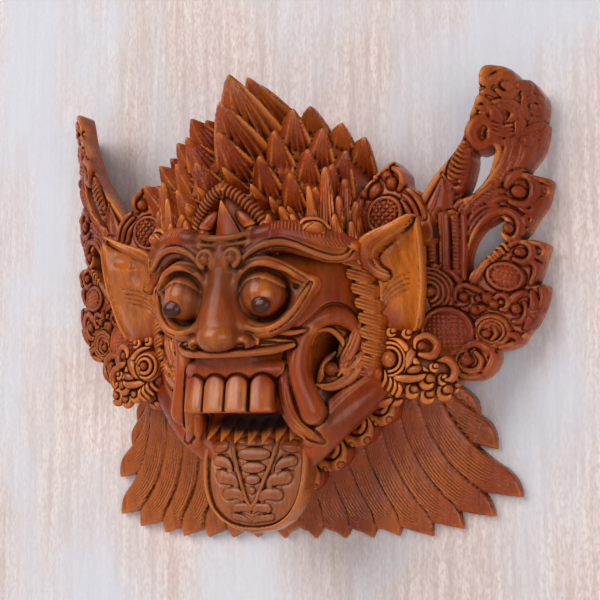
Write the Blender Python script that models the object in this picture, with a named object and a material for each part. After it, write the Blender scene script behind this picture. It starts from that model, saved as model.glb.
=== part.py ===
"""A carved wooden wall mask: a guardian's face with a spiked crest, pierced wings, tongue and beard.

It is cut from one block, so it is one solid. X runs across the mask, -Y is the way it faces, Z is up.
The origin is on the flat back, at the pad that lies against the wall behind the top of the head.
The carving is laid out in carving units, shares of the span, measured from the line between the eyes.
"""

import math

import bmesh
import bpy
from mathutils import Vector

# Sizes in metres that can each be set by themselves
SPAN = 0.254
FACE_WALL = 0.013
HOLLOW_DEPTH = 0.034
WING_THICKNESS = 0.0085
BEARD_THICKNESS = 0.0085
TONGUE_THICKNESS = 0.0085
EAR_THICKNESS = 0.0065
SPIKE_WIDTH = 0.0175
NAIL_HOLE_RADIUS = 0.004
NAIL_HOLE_DEPTH = 0.010
NAIL_HOLE_DROP = 0.011

# The carving unit, and the height of the hanging pad over the eye line in carving units
UNITS_ACROSS = 254.0
UNIT = SPAN / UNITS_ACROSS
PAD_HEIGHT = 62.0

# How finely the block is cut, in carving units, and the share of facets that is kept
CUT_FINENESS = 1.55
KEPT_FACETS = 0.0445

WOOD_COLOUR = (0.36, 0.115, 0.028, 1.0)
WOOD_ROUGHNESS = 0.36

# Head
SKULL_CENTRE = (0, -18, -2)
SKULL_RADII = (54, 61, 56)
CROWN_CENTRE = (0, -22, 34)
CROWN_RADII = (51, 47, 46)
JAW_CENTRE = (0, -20, -52)
JAW_RADII = (44, 30, 32)

# Wing: how far the outer edge stands off the wall, and how the face sweeps forward from it
WING_EDGE = 128.0
WING_EDGE_DEPTH = 7.5
SWEEP_HEIGHTS = (-40, 0, 40, 95)
SWEEP_SLOPES = (0.45, 0.62, 0.87, 1.75)
SWEEP_REACHES = (26, 33, 45, 50)


def at(x, y, z):
    """A point of the carving, given in carving units from the eye line, in metres from the pad."""
    return Vector((x, y, z - PAD_HEIGHT)) * UNIT


def between(value, stops, results):
    """The value carried from one list of stops to another, straight between them and level past the ends."""
    if value <= stops[0]:
        return results[0]
    for low, high, first, last in zip(stops, stops[1:], results, results[1:]):
        if value <= high:
            return first + (last - first) * (value - low) / (high - low)
    return results[-1]


def flowing(points, steps):
    """Points along a smooth curve through the given ones, with that many steps from each to the next."""
    knots = [points[0], *points, points[-1]]
    curve = []
    for a, b, c, d in zip(knots, knots[1:], knots[2:], knots[3:]):
        for step in range(steps):
            t = step / steps
            curve.append(
                tuple(
                    0.5 * (2 * q + (r - p) * t + (2 * p - 5 * q + 4 * r - s) * t**2
                           + (3 * q - p - 3 * r + s) * t**3)
                    for p, q, r, s in zip(a, b, c, d)
                )
            )
    curve.append(tuple(float(value) for value in points[-1]))
    return curve


def wing_depth(x, z):
    """How far the wing's face stands off the wall at a place on it: it sweeps forward to the head."""
    slope = between(z, SWEEP_HEIGHTS, SWEEP_SLOPES)
    reach = between(z, SWEEP_HEIGHTS, SWEEP_REACHES)
    return -WING_EDGE_DEPTH - reach * math.tanh((WING_EDGE - x) * slope / reach)


def ball(block, centre, radii):
    """An egg-shaped boss."""
    made = bmesh.ops.create_icosphere(block, subdivisions=3, radius=1.0)["verts"]
    for vertex in made:
        offset = [share * radius for share, radius in zip(vertex.co, radii)]
        vertex.co = at(*[place + step for place, step in zip(centre, offset)])


def close_rings(block, rings):
    """Joins rings of points into a closed skin, with a cap at each end."""
    loops = [[block.verts.new(point) for point in ring] for ring in rings]
    for first, last in zip(loops, loops[1:]):
        for i in range(len(first)):
            j = (i + 1) % len(first)
            block.faces.new((first[i], first[j], last[j], last[i]))
    block.faces.new(loops[0][::-1])
    block.faces.new(loops[-1])


def sweep(block, stops, sides=8, flatness=1.0, steps=4, facing=(0, -1, 0)):
    """A rounded strip along a curve. Each stop is x, y, z and the half-width there, in carving units."""
    curve = flowing(stops, steps)
    centres = [at(*stop[:3]) for stop in curve]
    rings = []
    for i, stop in enumerate(curve):
        ahead = centres[min(i + 1, len(centres) - 1)] - centres[max(i - 1, 0)]
        ahead.normalize()
        side = ahead.cross(Vector(facing)).normalized()
        rise = side.cross(ahead)
        half = max(stop[3], 0.05) * UNIT
        ring = []
        for corner in range(sides):
            turn = math.tau * corner / sides
            ring.append(
                centres[i] + side * half * math.cos(turn) + rise * half * flatness * math.sin(turn)
            )
        rings.append(ring)
    close_rings(block, rings)


def board(block, rows, thickness):
    """A curved board: rows of points over its front, and the same points set back by its thickness."""
    rings = []
    for row in rows:
        front = [at(*point) for point in row]
        back = [point + Vector((0, thickness, 0)) for point in reversed(front)]
        rings.append(front + back)
    close_rings(block, rings)


def scroll(block, x, z, radius, turns=1.1, start=0.0, way=1, strand=2.4, depth=None, lift=1.5):
    """A curl of foliage on the wing: a strand that winds in to a ball. Start is in degrees."""
    stops = []
    count = 10
    for i in range(count):
        share = i / (count - 1)
        turn = math.radians(start) + way * share * turns * math.tau
        reach = radius * (1 - 0.72 * share)
        place = (x + reach * math.cos(turn), z + reach * math.sin(turn))
        stand = wing_depth(*place) if depth is None else depth
        stops.append((place[0], stand - lift, place[1], strand * (1 - 0.35 * share)))
    sweep(block, stops, sides=7, steps=1)
    middle = wing_depth(x, z) if depth is None else depth
    ball(block, (x, middle - lift, z), (radius * 0.34,) * 3)


def rough_head(block):
    """Skull, crown, muzzle and jaw, which carry all the rest."""
    ball(block, SKULL_CENTRE, SKULL_RADII)
    ball(block, CROWN_CENTRE, CROWN_RADII)
    ball(block, JAW_CENTRE, JAW_RADII)
    ball(block, (0, -38, -72), (28, 14, 13))
    ball(block, (0, -48, -38), (31, 26, 12))
    ball(block, (0, -57, -34), (29, 24, 9))
    ball(block, (0, -54, -49), (25, 20, 8))
    for side in (-1, 1):
        ball(block, (side * 38, -12, -62), (18, 12, 16))
        ball(block, (side * 50, -28, 30), (13, 15, 18))


def carve_face_middle(block):
    """Nose, upper lip and gum."""
    sweep(block, [(0, -77, 16, 6), (0, -80, 5, 5.5), (0, -82, -6, 7), (0, -84, -16, 9), (0, -84, -22, 9)],
          flatness=0.8)
    ball(block, (0, -83, -23.5), (10.5, 10, 8))
    sweep(block, [(-30, -62, -26, 1.8), (-26, -69, -29, 2.4), (-13, -82, -32, 2.8), (0, -86, -33.5, 3),
                  (13, -82, -32, 2.8), (26, -69, -29, 2.4), (30, -62, -26, 1.8)])
    sweep(block, [(-27, -62, -38, 4.4), (-15, -73, -38.5, 4.8), (0, -78, -39, 5),
                  (15, -73, -38.5, 4.8), (27, -62, -38, 4.4)])


def carve_teeth(block):
    """Four broad incisors along the gum, and the pointed fringe at the root of the tongue."""
    width = 10.8
    for i in range(4):
        x = (i - 1.5) * width
        y = -75 + 0.02 * x * x
        sweep(block, [(x, y + 1, -40, 4.4), (x, y - 1, -46, 5.3), (x, y - 0.5, -57, 5.2)],
              flatness=0.75, steps=2)
    for i in range(5):
        x = (i - 2) * 8.2
        sweep(block, [(x, -42, -63, 4.4), (x, -49, -67, 3.6), (x, -54, -73, 0.8)], sides=6, flatness=0.6)


def carve_tongue(block):
    """The long tongue: rounded at its end, a little hollow along its face."""
    rows = []
    outline = ((-60, 20, -42), (-65, 24, -48), (-71, 26, -50), (-80, 26.6, -51), (-90, 25.4, -52),
               (-98, 22, -52.5), (-104, 17, -52), (-108, 10, -51), (-109.5, 3.5, -50.5))
    for z, half, front in outline:
        rows.append([(half * share, front + 4 * share * share, z)
                     for share in (-1, -0.75, -0.4, 0, 0.4, 0.75, 1)])
    board(block, rows, TONGUE_THICKNESS)
    rim = [(half * 0.97, front + 2.5, z, 1.9) for z, half, front in outline]
    sweep(block, rim, steps=2)
    sweep(block, [(-x, y, z, half) for x, y, z, half in rim], steps=2)
    for side in (-1, 1):
        sweep(block, [(side * 15, -50, -70, 1.7), (side * 9, -53, -84, 1.7), (side * 2, -54, -98, 1.7)])


def carve_jewel(block):
    """The pointed jewel over the brow, in its corded border."""
    sweep(block, [(0, -76, 25, 12), (0, -79, 32, 8), (0, -79, 40, 1)], sides=6, flatness=0.55, steps=2)
    sweep(block, [(-16, -73, 25, 2.6), (-11, -77, 33, 2.4), (0, -80, 42, 2.4),
                  (11, -77, 33, 2.4), (16, -73, 25, 2.6)])
    sweep(block, [(-14, -77, 19, 2.8), (0, -83, 20, 3.4), (14, -77, 19, 2.8)])


def carve_eye(block):
    """Bulging eyeball, the lid ridge round it, and the brow with its curl."""
    ball(block, (18, -74, -5.5), (11.8, 13, 11.8))
    ring = []
    for i in range(17):
        turn = math.tau * i / 16
        x = 19.5 + 15.5 * math.cos(turn)
        ring.append((x, -76.5 + 0.45 * (x - 5), -5 + 15.2 * math.sin(turn), 2.0))
    sweep(block, ring, sides=6, steps=1)
    sweep(block, [(26, -76, 7, 2.4), (33, -66, 3, 2.2), (38, -58, -1, 1)])
    sweep(block, [(9, -82, 8, 3), (13, -83, 13, 3.4), (25, -80, 16.5, 3.8), (35, -73, 15, 3.8),
                  (43, -64, 12, 3.4), (52, -55, 12, 1.8)])
    scroll(block, 7, 10, 5.0, turns=0.9, start=80, way=1, strand=2.0, depth=-83, lift=0)
    sweep(block, [(18, -79, 22, 3.6), (30, -75, 22.5, 4.6), (42, -64, 19, 4.4), (50, -55, 17, 3)])


def carve_cheek(block):
    """Nostril, cheek, the horn-like curl at the corner of the mouth, its leaf, the fang and the jaw."""
    ball(block, (11.5, -80, -26), (6.2, 7.5, 5.4))
    sweep(block, [(29, -56, -60, 5.4), (28, -60, -50, 5.8), (26.5, -62, -38, 5.2), (28, -61, -25, 4.7),
                  (33, -58, -15, 4.6), (40, -52, -12, 4.6), (46, -46, -16, 4.2), (46, -44, -24, 3.0)])
    sweep(block, [(34, -49, -46, 1.5), (41, -46, -37, 6.5), (47, -42, -26, 6.0), (50, -40, -14, 1.0)],
          flatness=0.6)
    ball(block, (38, -48, -37), (4.2, 4, 4.2))
    sweep(block, [(18.5, -67, -39, 5.0), (20, -66, -50, 4.6), (22, -61, -60, 3.8), (27, -54, -66.5, 2.4),
                  (31, -50, -67.5, 1.2)])
    sweep(block, [(60, -28, -40, 5), (53, -34, -45, 7.5), (43, -41, -54, 8.5), (33, -45, -64, 8.5),
                  (24, -46, -73, 7), (16, -44, -80, 5)])
    scallops = 10
    for i in range(scallops):
        share = i / (scallops - 1)
        ball(block, (46 + 9 * math.sin(math.pi * share * 0.9), -49 + 13 * share, 13 - 54 * share),
             (5.0, 6.0, 3.3))


def carve_ear(block):
    """The tall pointed ear, with its folded upper rim."""
    outline = ((-20, 60, 77, -38, -42), (-12, 57, 79.5, -40, -45), (-3, 54, 81, -43, -48),
               (6, 50, 81.7, -46, -51), (13, 50, 81.7, -49, -53), (19, 60, 81.5, -52, -55),
               (24, 71, 81.3, -54, -56), (28, 79.5, 81.2, -56, -57))
    rows = []
    for z, inner, outer, inner_depth, outer_depth in outline:
        rows.append([(inner + (outer - inner) * share,
                      inner_depth + (outer_depth - inner_depth) * share + 4 * math.sin(math.pi * share), z)
                     for share in (0, 0.25, 0.5, 0.75, 1)])
    board(block, rows, EAR_THICKNESS)
    sweep(block, [(48, -50, 9, 3.2), (54, -53, 16, 3.6), (64, -56, 21, 3.4), (74, -57, 25.5, 2.6),
                  (81, -57, 28.5, 1.2)])
    sweep(block, [(57, -50, 12, 3), (54, -49, 3, 3.4), (60, -48, -4, 3)])
    sweep(block, [(50, -38, 14, 10), (56, -34, 0, 12), (62, -30, -14, 10)], flatness=0.8)


def carve_flower(block):
    """The flower at the ear's foot, in its bunch of curls."""
    ball(block, (68, -25, -36), (21, 15, 15))
    ball(block, (61, -38, -32), (7.5, 6, 7.5))
    sweep(block, [(66, -38, -30, 4), (73, -38, -35, 6.4), (82, -33, -40, 1.2)], flatness=0.6)
    for x, z, radius in ((55, -42, 4.4), (61, -47, 4.8), (69, -49, 5.2), (78, -48, 5.2), (86, -46, 5.4)):
        ball(block, (x, -29 + 0.12 * (x - 55), z), (radius, 6, radius))
    for x, z, radius in ((58, -21, 3.6), (66, -22, 4.0), (75, -27, 5.0)):
        ball(block, (x, -37, z), (radius, 5, radius))


def carve_jaw_curls(block):
    """The row of curls between the jaw and the beard."""
    for x, y, z, radius in ((52, -23, -53, 7.5), (41.5, -25, -62, 8.5), (28.5, -27, -73.5, 8.5),
                            (15, -29, -84, 7.5)):
        scroll(block, x, z, radius, turns=1.0, start=200, way=-1, strand=3.0, depth=y, lift=1.5)
        ball(block, (x, y + 7, z), (radius + 2, 9, radius + 1))


def beard_locks():
    """Where each lock of one half of the beard starts and ends: root x, z and tip x, z."""
    locks = []
    for i in range(7):
        share = i / 6
        root = (4 + 66 * share, -84 + 38 * share**0.9)
        tip = (7.5 + 15.3 * i, -115 + 3.5 * share + 9.5 * share**5)
        locks.append((*root, *tip))
    locks += [(72, -46, 111, -93), (72, -43, 99.5, -74), (72, -40, 91, -61.5)]
    return locks


def carve_beard(block):
    """Curved locks that fan out from the jaw and end in points."""
    thick = BEARD_THICKNESS / UNIT
    for root_x, root_z, tip_x, tip_z in beard_locks():
        stops = []
        for share, half in ((0, 8.5), (0.25, 9.0), (0.5, 8.8), (0.7, 7.6), (0.86, 5.0), (1.03, 1.2)):
            sag = math.sin(math.pi * share)
            x = root_x + (tip_x - root_x) * share - 0.14 * (tip_x - root_x) * sag
            z = root_z + (tip_z - root_z) * share - 0.10 * abs(tip_x - root_x) * sag
            lift = 13 * max(1 - share, 0) ** 1.6
            stops.append((x, -thick * 0.52 - lift, z, half))
        sweep(block, stops, sides=8, flatness=0.5, steps=2)
        under = [(x, -thick * 0.3, z, half) for x, y, z, half in stops[:-1]]
        sweep(block, under, sides=6, flatness=0.55, steps=1)


def wing_board(block, stations, thickness):
    """A stretch of the wing: for each height, from which x to which x it is solid."""
    rows = []
    for z, inner, outer in stations:
        row = []
        for i in range(6):
            x = inner + (outer - inner) * i / 5
            row.append((x, wing_depth(x, z), z))
        rows.append(row)
    board(block, rows, thickness)


def carve_wing(block):
    """The pierced wing: its boards leave two openings, and the foliage lies on them."""
    horn = ((95.5, 106, 117), (91, 105.3, 118), (85, 104.4, 120), (80, 103.6, 120), (72, 101, 116), (65, 98, 110),
            (60, 95.2, 103), (56, 92, 98.5), (51.5, 87, 97.5), (46, 82, 95.5), (39, 76, 93), (30, 70, 93),
            (20, 66, 94), (10, 64, 94.5), (0, 62, 95), (-10, 60, 95))
    wing_board(block, horn, WING_THICKNESS * 1.7)
    stems = ((91, 115, 119), (85, 113, 125.5), (80, 111, 126.5), (75, 110, 126), (68, 109.5, 125.5),
             (61, 108.5, 122), (53, 107, 119.5), (49.5, 105, 127.5), (44, 102, 127), (38, 96, 126.5), (32, 93, 121))
    wing_board(block, stems, WING_THICKNESS * 1.4)
    lobes = ((34, 110, 122), (28, 113, 120.5), (23, 112, 117), (20, 110, 126), (14, 104, 125), (8.5, 98, 124),
             (1.5, 94, 119.5), (0, 93, 125), (-6, 62, 124.5), (-12, 60, 123), (-20, 60, 119), (-28, 60, 111.5),
             (-30.5, 60, 106), (-33, 60, 104), (-37, 60, 102.5), (-42, 64, 97))
    wing_board(block, lobes, WING_THICKNESS * 1.2)
    strands = (
        ((86, 12, 2.6), (88, 27, 3.0), (97, 38, 3.2), (107, 47, 3.2), (113.5, 58, 3.4), (115, 72, 3.0)),
        ((96, 10, 2.2), (97, 22, 2.6), (102, 30, 2.8), (109, 33, 2.8), (116, 28.5, 2.8), (114, 22, 2.6)),
        ((81.5, 0, 3.2), (81.5, 12, 3.2), (82, 27, 2.6)),
        ((89.5, -2, 3.0), (89.5, 12, 3.0), (90.5, 29, 2.4)),
        ((91, 38, 2.5), (95, 46, 4.4), (97, 53, 3.8), (98, 61, 1.2)),
        ((82, 36, 4.0), (85, 43, 3.0), (88, 48, 1.2)),
    )
    for strand in strands:
        sweep(block, [(x, wing_depth(x, z) - 1.2, z, half) for x, z, half in strand])
    curls = (
        (105.5, 64.5, 6.6, 100, -1), (107, 76.5, 5.4, 60, 1), (112.5, 87.5, 5.6, 300, -1), (120, 88, 3.8, 40, -1),
        (122, 79, 4.2, 60, -1), (121.5, 67, 4.4, 90, 1), (114, 43.5, 5.2, 100, 1), (122.5, 44, 4.0, 200, -1),
        (111.5, 26, 4.8, 60, -1), (116, 15, 4.4, 120, 1), (121, 12.5, 3.6, 120, 1), (90, -4, 4.0, 60, 1),
        (97, -5, 4.4, 120, -1), (105, -6.5, 4.4, 100, 1), (113.5, -5, 4.6, 40, -1), (120, -6, 4.4, 90, 1),
        (117, -15, 4.4, 160, -1), (110.5, -24, 4.4, 200, 1), (80.5, 0, 6.5, 40, -1), (77, -27, 5.4, 90, 1),
        (87.5, -35, 5.0, 160, -1), (97, -36, 5.4, 200, 1),
    )
    for x, z, radius, start, way in curls:
        scroll(block, x, z, radius, start=start, way=way)
    for x, z, radius, squash in ((85, -20.5, 12.0, 1.0), (108.5, 4, 8.8, 0.8), (102.5, -18.5, 8.0, 1.0)):
        ball(block, (x, wing_depth(x, z) + 1.5, z), (radius, 6.5, radius * squash))
    ball(block, (101.5, wing_depth(101.5, -19) - 3.5, -19), (3.6, 4.5, 3.6))


def carve_side_leaf(block):
    """The pointed ornament that fills the corner between crest and wing."""
    rows = []
    for z, inner, outer in ((20, 50, 84), (32, 51, 80), (41, 54, 76), (48, 57, 73), (53, 61, 69), (57, 63.5, 66)):
        rows.append([(inner + (outer - inner) * share, -43 + 2 * abs(share - 0.5), z)
                     for share in (0, 0.25, 0.5, 0.75, 1)])
    board(block, rows, WING_THICKNESS * 1.3)
    ball(block, (61, -43, 34), (7.2, 5, 7.2))
    for x, z, radius in ((56, 45, 3.4), (65, 53, 4.2), (69, 47, 4.0), (75, 40, 4.8), (53, 36, 3.0)):
        ball(block, (x, -44, z), (radius, 4, radius))


def carve_lotus(block):
    """The lotus at the temple: a boss and its upright petals."""
    ball(block, (38, -69, 24), (6, 5, 4))
    petals = ((27, -74, 34, 3.4), (35.5, -71, 41, 3.6), (41, -66, 50, 4.0), (46.5, -60, 51, 4.4),
              (50.5, -56, 38, 4.2))
    for x, y, z, half in petals:
        sweep(block, [(37 + 0.25 * (x - 37), -64, 22, half * 0.8),
                      (37 + 0.7 * (x - 37), 0.5 * (y - 66), 0.5 * (24 + z), half), (x, y, z, 0.9)],
              sides=6, flatness=0.7)
    for x, y, z in ((44, -60, 24), (50, -54, 22)):
        sweep(block, [(x, y, z - 4, 4), (x + 1.5, y - 1, z + 8, 0.8)], sides=6, steps=2)


def spike(block, tip, lean, width, back=0.62):
    """A four-sided spike whose root is sunk in the crown, below and behind its tip."""
    x, y, z = tip
    root = (x * (1 - 0.42 * lean), y * back, z - 30 * lean)
    middle = (x * (1 - 0.15 * lean), y * (0.62 + 0.38 * back), z - 15 * lean)
    sweep(block, [(*root, width * 0.68), (*middle, width * 0.52), (*tip, 0.6)], sides=4, flatness=0.9, steps=2)


def crest_rows():
    """Tip, lean, width and reach back of the spikes on the middle line, and of those on one half."""
    wide = SPIKE_WIDTH / UNIT
    middle = [((0, -62, 99), 1.0, wide * 1.25, 0.1), ((0, -79, 97.5), 1.0, wide * 1.15, 0.62),
              ((0, -87, 82), 0.8, wide, 0.62), ((0, -88, 66), 0.7, wide * 0.8, 0.62),
              ((0, -87, 52), 0.6, wide * 0.7, 0.62)]
    side = []
    arcs = (
        (1.25, 0.1, ((27, -43, 87), (42, -39, 78), (54, -36, 69), (63, -30, 57))),
        (1.05, 0.62, ((27, -62, 82), (39, -56, 73), (51.5, -51, 62), (62, -47, 52))),
        (0.95, 0.62, ((20, -71, 70), (34, -64, 62), (46, -57, 52))),
        (0.85, 0.62, ((11, -82, 61), (16, -79, 55), (28, -73, 49), (40, -66, 44))),
        (0.55, 0.62, ((13, -83, 44), (22, -79, 38))),
    )
    for size, back, tips in arcs:
        for tip in tips:
            side.append((tip, min(size, 1.0), wide * size, back))
    return middle, side


def carve_crest_half(block):
    """The spikes of one half of the crest."""
    for tip, lean, width, back in crest_rows()[1]:
        spike(block, tip, lean, width, back)


def carve_crest_middle(block):
    """The spikes that stand on the middle line."""
    for tip, lean, width, back in crest_rows()[0]:
        spike(block, tip, lean, width, back)


def mirrored(block):
    """Adds the other half of whatever the block holds, so that both halves match."""
    copied = bmesh.ops.duplicate(block, geom=block.verts[:] + block.edges[:] + block.faces[:])["geom"]
    for element in copied:
        if isinstance(element, bmesh.types.BMVert):
            element.co.x = -element.co.x
    bmesh.ops.reverse_faces(block, faces=[f for f in copied if isinstance(f, bmesh.types.BMFace)])


def new_object(name, block):
    """An object of this name with the block's faces, all pointing out."""
    bmesh.ops.recalc_face_normals(block, faces=block.faces[:])
    mesh = bpy.data.meshes.new(name)
    block.to_mesh(mesh)
    block.free()
    made = bpy.data.objects.new(name, mesh)
    bpy.context.scene.collection.objects.link(made)
    return made


def as_cutter(made):
    """Keeps a cutter out of the model."""
    made.hide_render = True
    made.display_type = "WIRE"
    return made


def hollow_cutter():
    """The scoop behind the face, as deep as set and a wall's thickness inside the skull."""
    block = bmesh.new()
    wall = FACE_WALL / UNIT
    depth = HOLLOW_DEPTH / UNIT
    ball(block, (SKULL_CENTRE[0], 0, -10), (SKULL_RADII[0] - wall, depth, SKULL_RADII[2] - wall))
    return as_cutter(new_object("hollow_cutter", block))


def mouth_cutter():
    """The open mouth under the teeth."""
    block = bmesh.new()
    ball(block, (0, -62, -62.5), (20, 26, 5.4))
    return as_cutter(new_object("mouth_cutter", block))


def pocket_cutter(side):
    """The dark pocket inside the curl at one corner of the mouth."""
    block = bmesh.new()
    sweep(block, [(side * 35, -66, -28, 4.6), (side * 33.5, -34, -30, 4.0)], facing=(0, 0, 1), steps=2)
    return as_cutter(new_object("pocket_cutter_left" if side < 0 else "pocket_cutter_right", block))


def wall_cutter():
    """All that would lie behind the flat back."""
    block = bmesh.new()
    reach = SPAN
    bmesh.ops.create_cube(block, size=2 * reach)
    for vertex in block.verts:
        vertex.co += Vector((0, reach, -PAD_HEIGHT * UNIT))
    return as_cutter(new_object("wall_cutter", block))


def nail_hole_cutter():
    """The blind hole that hangs on a nail, under the pad."""
    block = bmesh.new()
    bmesh.ops.create_cone(block, cap_ends=True, segments=24, radius1=NAIL_HOLE_RADIUS,
                          radius2=NAIL_HOLE_RADIUS, depth=2 * NAIL_HOLE_DEPTH)
    for vertex in block.verts:
        x, y, z = vertex.co
        vertex.co = Vector((x, -z, y - NAIL_HOLE_DROP))
    return as_cutter(new_object("nail_hole_cutter", block))


def cut(made, cutter):
    """Takes a cutter's shape out of an object."""
    modifier = made.modifiers.new(cutter.name, "BOOLEAN")
    modifier.operation = "DIFFERENCE"
    modifier.solver = "EXACT"
    modifier.object = cutter


def fuse(made):
    """Makes one skin of all the forms in an object."""
    modifier = made.modifiers.new("fuse", "REMESH")
    modifier.mode = "VOXEL"
    modifier.voxel_size = CUT_FINENESS * UNIT


def finished_mesh(made):
    """The object's mesh with its modifiers worked in; the object and its cutters are taken away."""
    ready = made.evaluated_get(bpy.context.evaluated_depsgraph_get())
    mesh = bpy.data.meshes.new_from_object(ready)
    cutters = [modifier.object for modifier in made.modifiers if modifier.type == "BOOLEAN"]
    for spent in (*cutters, made):
        bpy.data.objects.remove(spent, do_unlink=True)
    return mesh


def drop_sealed_pockets(mesh):
    """Leaves only the outer skin, so that no pocket stays sealed in the wood."""
    block = bmesh.new()
    block.from_mesh(mesh)
    block.verts.index_update()
    shell_of = [-1] * len(block.verts)
    shells = []
    for start in block.verts:
        if shell_of[start.index] >= 0:
            continue
        shell_of[start.index] = len(shells)
        shell = [start]
        for vertex in shell:
            for link in vertex.link_edges:
                near = link.other_vert(vertex)
                if shell_of[near.index] < 0:
                    shell_of[near.index] = len(shells)
                    shell.append(near)
        shells.append(shell)
    outer = max(shells, key=len)
    for shell in shells:
        if shell is not outer:
            bmesh.ops.delete(block, geom=shell, context="VERTS")
    block.to_mesh(mesh)
    block.free()


def wood():
    """The one timber that the mask is cut from."""
    material = bpy.data.materials.new("carved_wood")
    material.use_nodes = True
    shader = material.node_tree.nodes["Principled BSDF"]
    shader.inputs["Base Color"].default_value = WOOD_COLOUR
    shader.inputs["Roughness"].default_value = WOOD_ROUGHNESS
    shader.inputs["Metallic"].default_value = 0.0
    return material


def build_mask():
    """Roughs out the head and opens the mouth, adds every form to it, and cuts the back."""
    rough = bmesh.new()
    rough_head(rough)
    head = new_object("head", rough)
    fuse(head)
    for cutter in (mouth_cutter(), pocket_cutter(-1), pocket_cutter(1)):
        cut(head, cutter)

    block = bmesh.new()
    for carve in (carve_eye, carve_cheek, carve_ear, carve_flower, carve_jaw_curls, carve_beard,
                  carve_wing, carve_side_leaf, carve_lotus, carve_crest_half):
        carve(block)
    mirrored(block)
    for carve in (carve_face_middle, carve_teeth, carve_tongue, carve_jewel, carve_crest_middle):
        carve(block)
    bmesh.ops.recalc_face_normals(block, faces=block.faces[:])
    block.from_mesh(finished_mesh(head))
    forms = new_object("forms", block)
    fuse(forms)
    mesh = finished_mesh(forms)
    drop_sealed_pockets(mesh)

    mask = bpy.data.objects.new("mask", mesh)
    bpy.context.scene.collection.objects.link(mask)
    mesh.name = "mask"
    mesh.materials.clear()
    mesh.materials.append(wood())
    facet = mask.modifiers.new("facet", "DECIMATE")
    facet.ratio = KEPT_FACETS
    for cutter in (hollow_cutter(), wall_cutter(), nail_hole_cutter()):
        cut(mask, cutter)
    return mask


for old in list(bpy.data.objects):
    bpy.data.objects.remove(old, do_unlink=True)
build_mask()
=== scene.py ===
"""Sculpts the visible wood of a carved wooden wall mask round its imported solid, and stages it on a wall.

The mask is carved, not built, so its pieces are sculpted: each is a lattice of distances to the surface,
to which forms are added and from which grooves are cut. The skin of the lattice becomes the mesh.
Places are in carving units from the line between the eyes: X across, -Y forward, Z up.
"""

import math

import bpy
import numpy as np
from bpy.props import FloatProperty, FloatVectorProperty, PointerProperty
from bpy.types import Operator, Panel, PropertyGroup
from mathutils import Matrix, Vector


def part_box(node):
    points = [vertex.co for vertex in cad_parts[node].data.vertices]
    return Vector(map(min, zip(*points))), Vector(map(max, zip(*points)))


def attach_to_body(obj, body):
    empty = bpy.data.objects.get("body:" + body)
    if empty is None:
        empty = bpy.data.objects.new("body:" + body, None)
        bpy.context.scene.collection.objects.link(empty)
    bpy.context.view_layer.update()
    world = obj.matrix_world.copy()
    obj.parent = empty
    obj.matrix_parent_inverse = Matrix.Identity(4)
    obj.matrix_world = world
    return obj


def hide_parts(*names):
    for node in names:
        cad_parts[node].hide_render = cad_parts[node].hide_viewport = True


bl_info = {
    "name": "Carved Wall Mask",
    "version": (1, 0, 0),
    "blender": (4, 5, 0),
    "location": "3D View > Sidebar > Wall Mask",
    "description": "Sculpts a wooden wall mask with a spiked crest, pierced wings, a tongue and a beard",
    "category": "Add Mesh",
}

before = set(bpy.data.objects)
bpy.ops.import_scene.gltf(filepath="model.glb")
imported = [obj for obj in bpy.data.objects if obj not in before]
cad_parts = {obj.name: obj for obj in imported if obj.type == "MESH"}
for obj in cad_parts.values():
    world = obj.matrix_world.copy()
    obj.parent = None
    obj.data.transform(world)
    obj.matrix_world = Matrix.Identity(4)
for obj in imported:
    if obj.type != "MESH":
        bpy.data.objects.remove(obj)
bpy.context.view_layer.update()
MASK_LOW, MASK_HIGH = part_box("mask")

# The carving unit in metres, and the height of the hanging pad over the eye line in carving units
MASK_WIDTH = 254.87
UNIT = (MASK_HIGH[0] - MASK_LOW[0]) / MASK_WIDTH
PAD_HEIGHT = 62.0

# Which faces and points count as lying on the wall: how level, and how near in carving units
LEVEL = 0.99
WALL_REACH = 0.3
WALL_TOUCH = 0.05

# How far the lattices know the distance to the surface, in carving units
FAR = 4.0
TAU = math.tau

# The narrow cut along the outside of every form that is laid on low carving
MOAT_DEPTH = 0.9
MOAT_WIDTH = 0.7
MOAT_SHARE = 0.95
MOAT_FLOOR = 0.75

# The skull, the scoop behind it and the blind hole for the nail
SKULL_RADII = (54, 61, 56)
FACE_WALL = 13
HOLLOW_DEPTH = 34
NAIL_HOLE_RADIUS = 4
NAIL_HOLE_DEPTH = 10
NAIL_HOLE_DROP = 11

# Wing: how far the outer edge stands off the wall, and how the face sweeps forward from it
WING_EDGE = 128.0
WING_EDGE_DEPTH = 7.5
SWEEP_HEIGHTS = (-40, 0, 40, 95)
SWEEP_SLOPES = (0.45, 0.62, 0.87, 1.75)
SWEEP_REACHES = (26, 33, 45, 50)


# Curves and distances


def flowing(stops, steps=5):
    """Points along a smooth curve through the given ones, with that many steps from each to the next."""
    knots = np.array([stops[0], *stops, stops[-1]], float)
    a, b, c, d = (knots[i:len(knots) - 3 + i, None, :] for i in range(4))
    t = (np.arange(steps) / steps)[None, :, None]
    curve = 0.5 * (2 * b + (c - a) * t + (2 * a - 5 * b + 4 * c - d) * t**2 + (3 * b - a - 3 * c + d) * t**3)
    return np.vstack([curve.reshape(-1, knots.shape[1]), knots[-1:]])


def flowing_round(points, steps=3):
    """The same for a closed outline."""
    knots = np.array(points, float)
    a, b, c, d = (np.roll(knots, 1 - i, axis=0)[:, None, :] for i in range(4))
    t = (np.arange(steps) / steps)[None, :, None]
    curve = 0.5 * (2 * b + (c - a) * t + (2 * a - 5 * b + 4 * c - d) * t**2 + (3 * b - a - 3 * c + d) * t**3)
    return curve.reshape(-1, 2)


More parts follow.
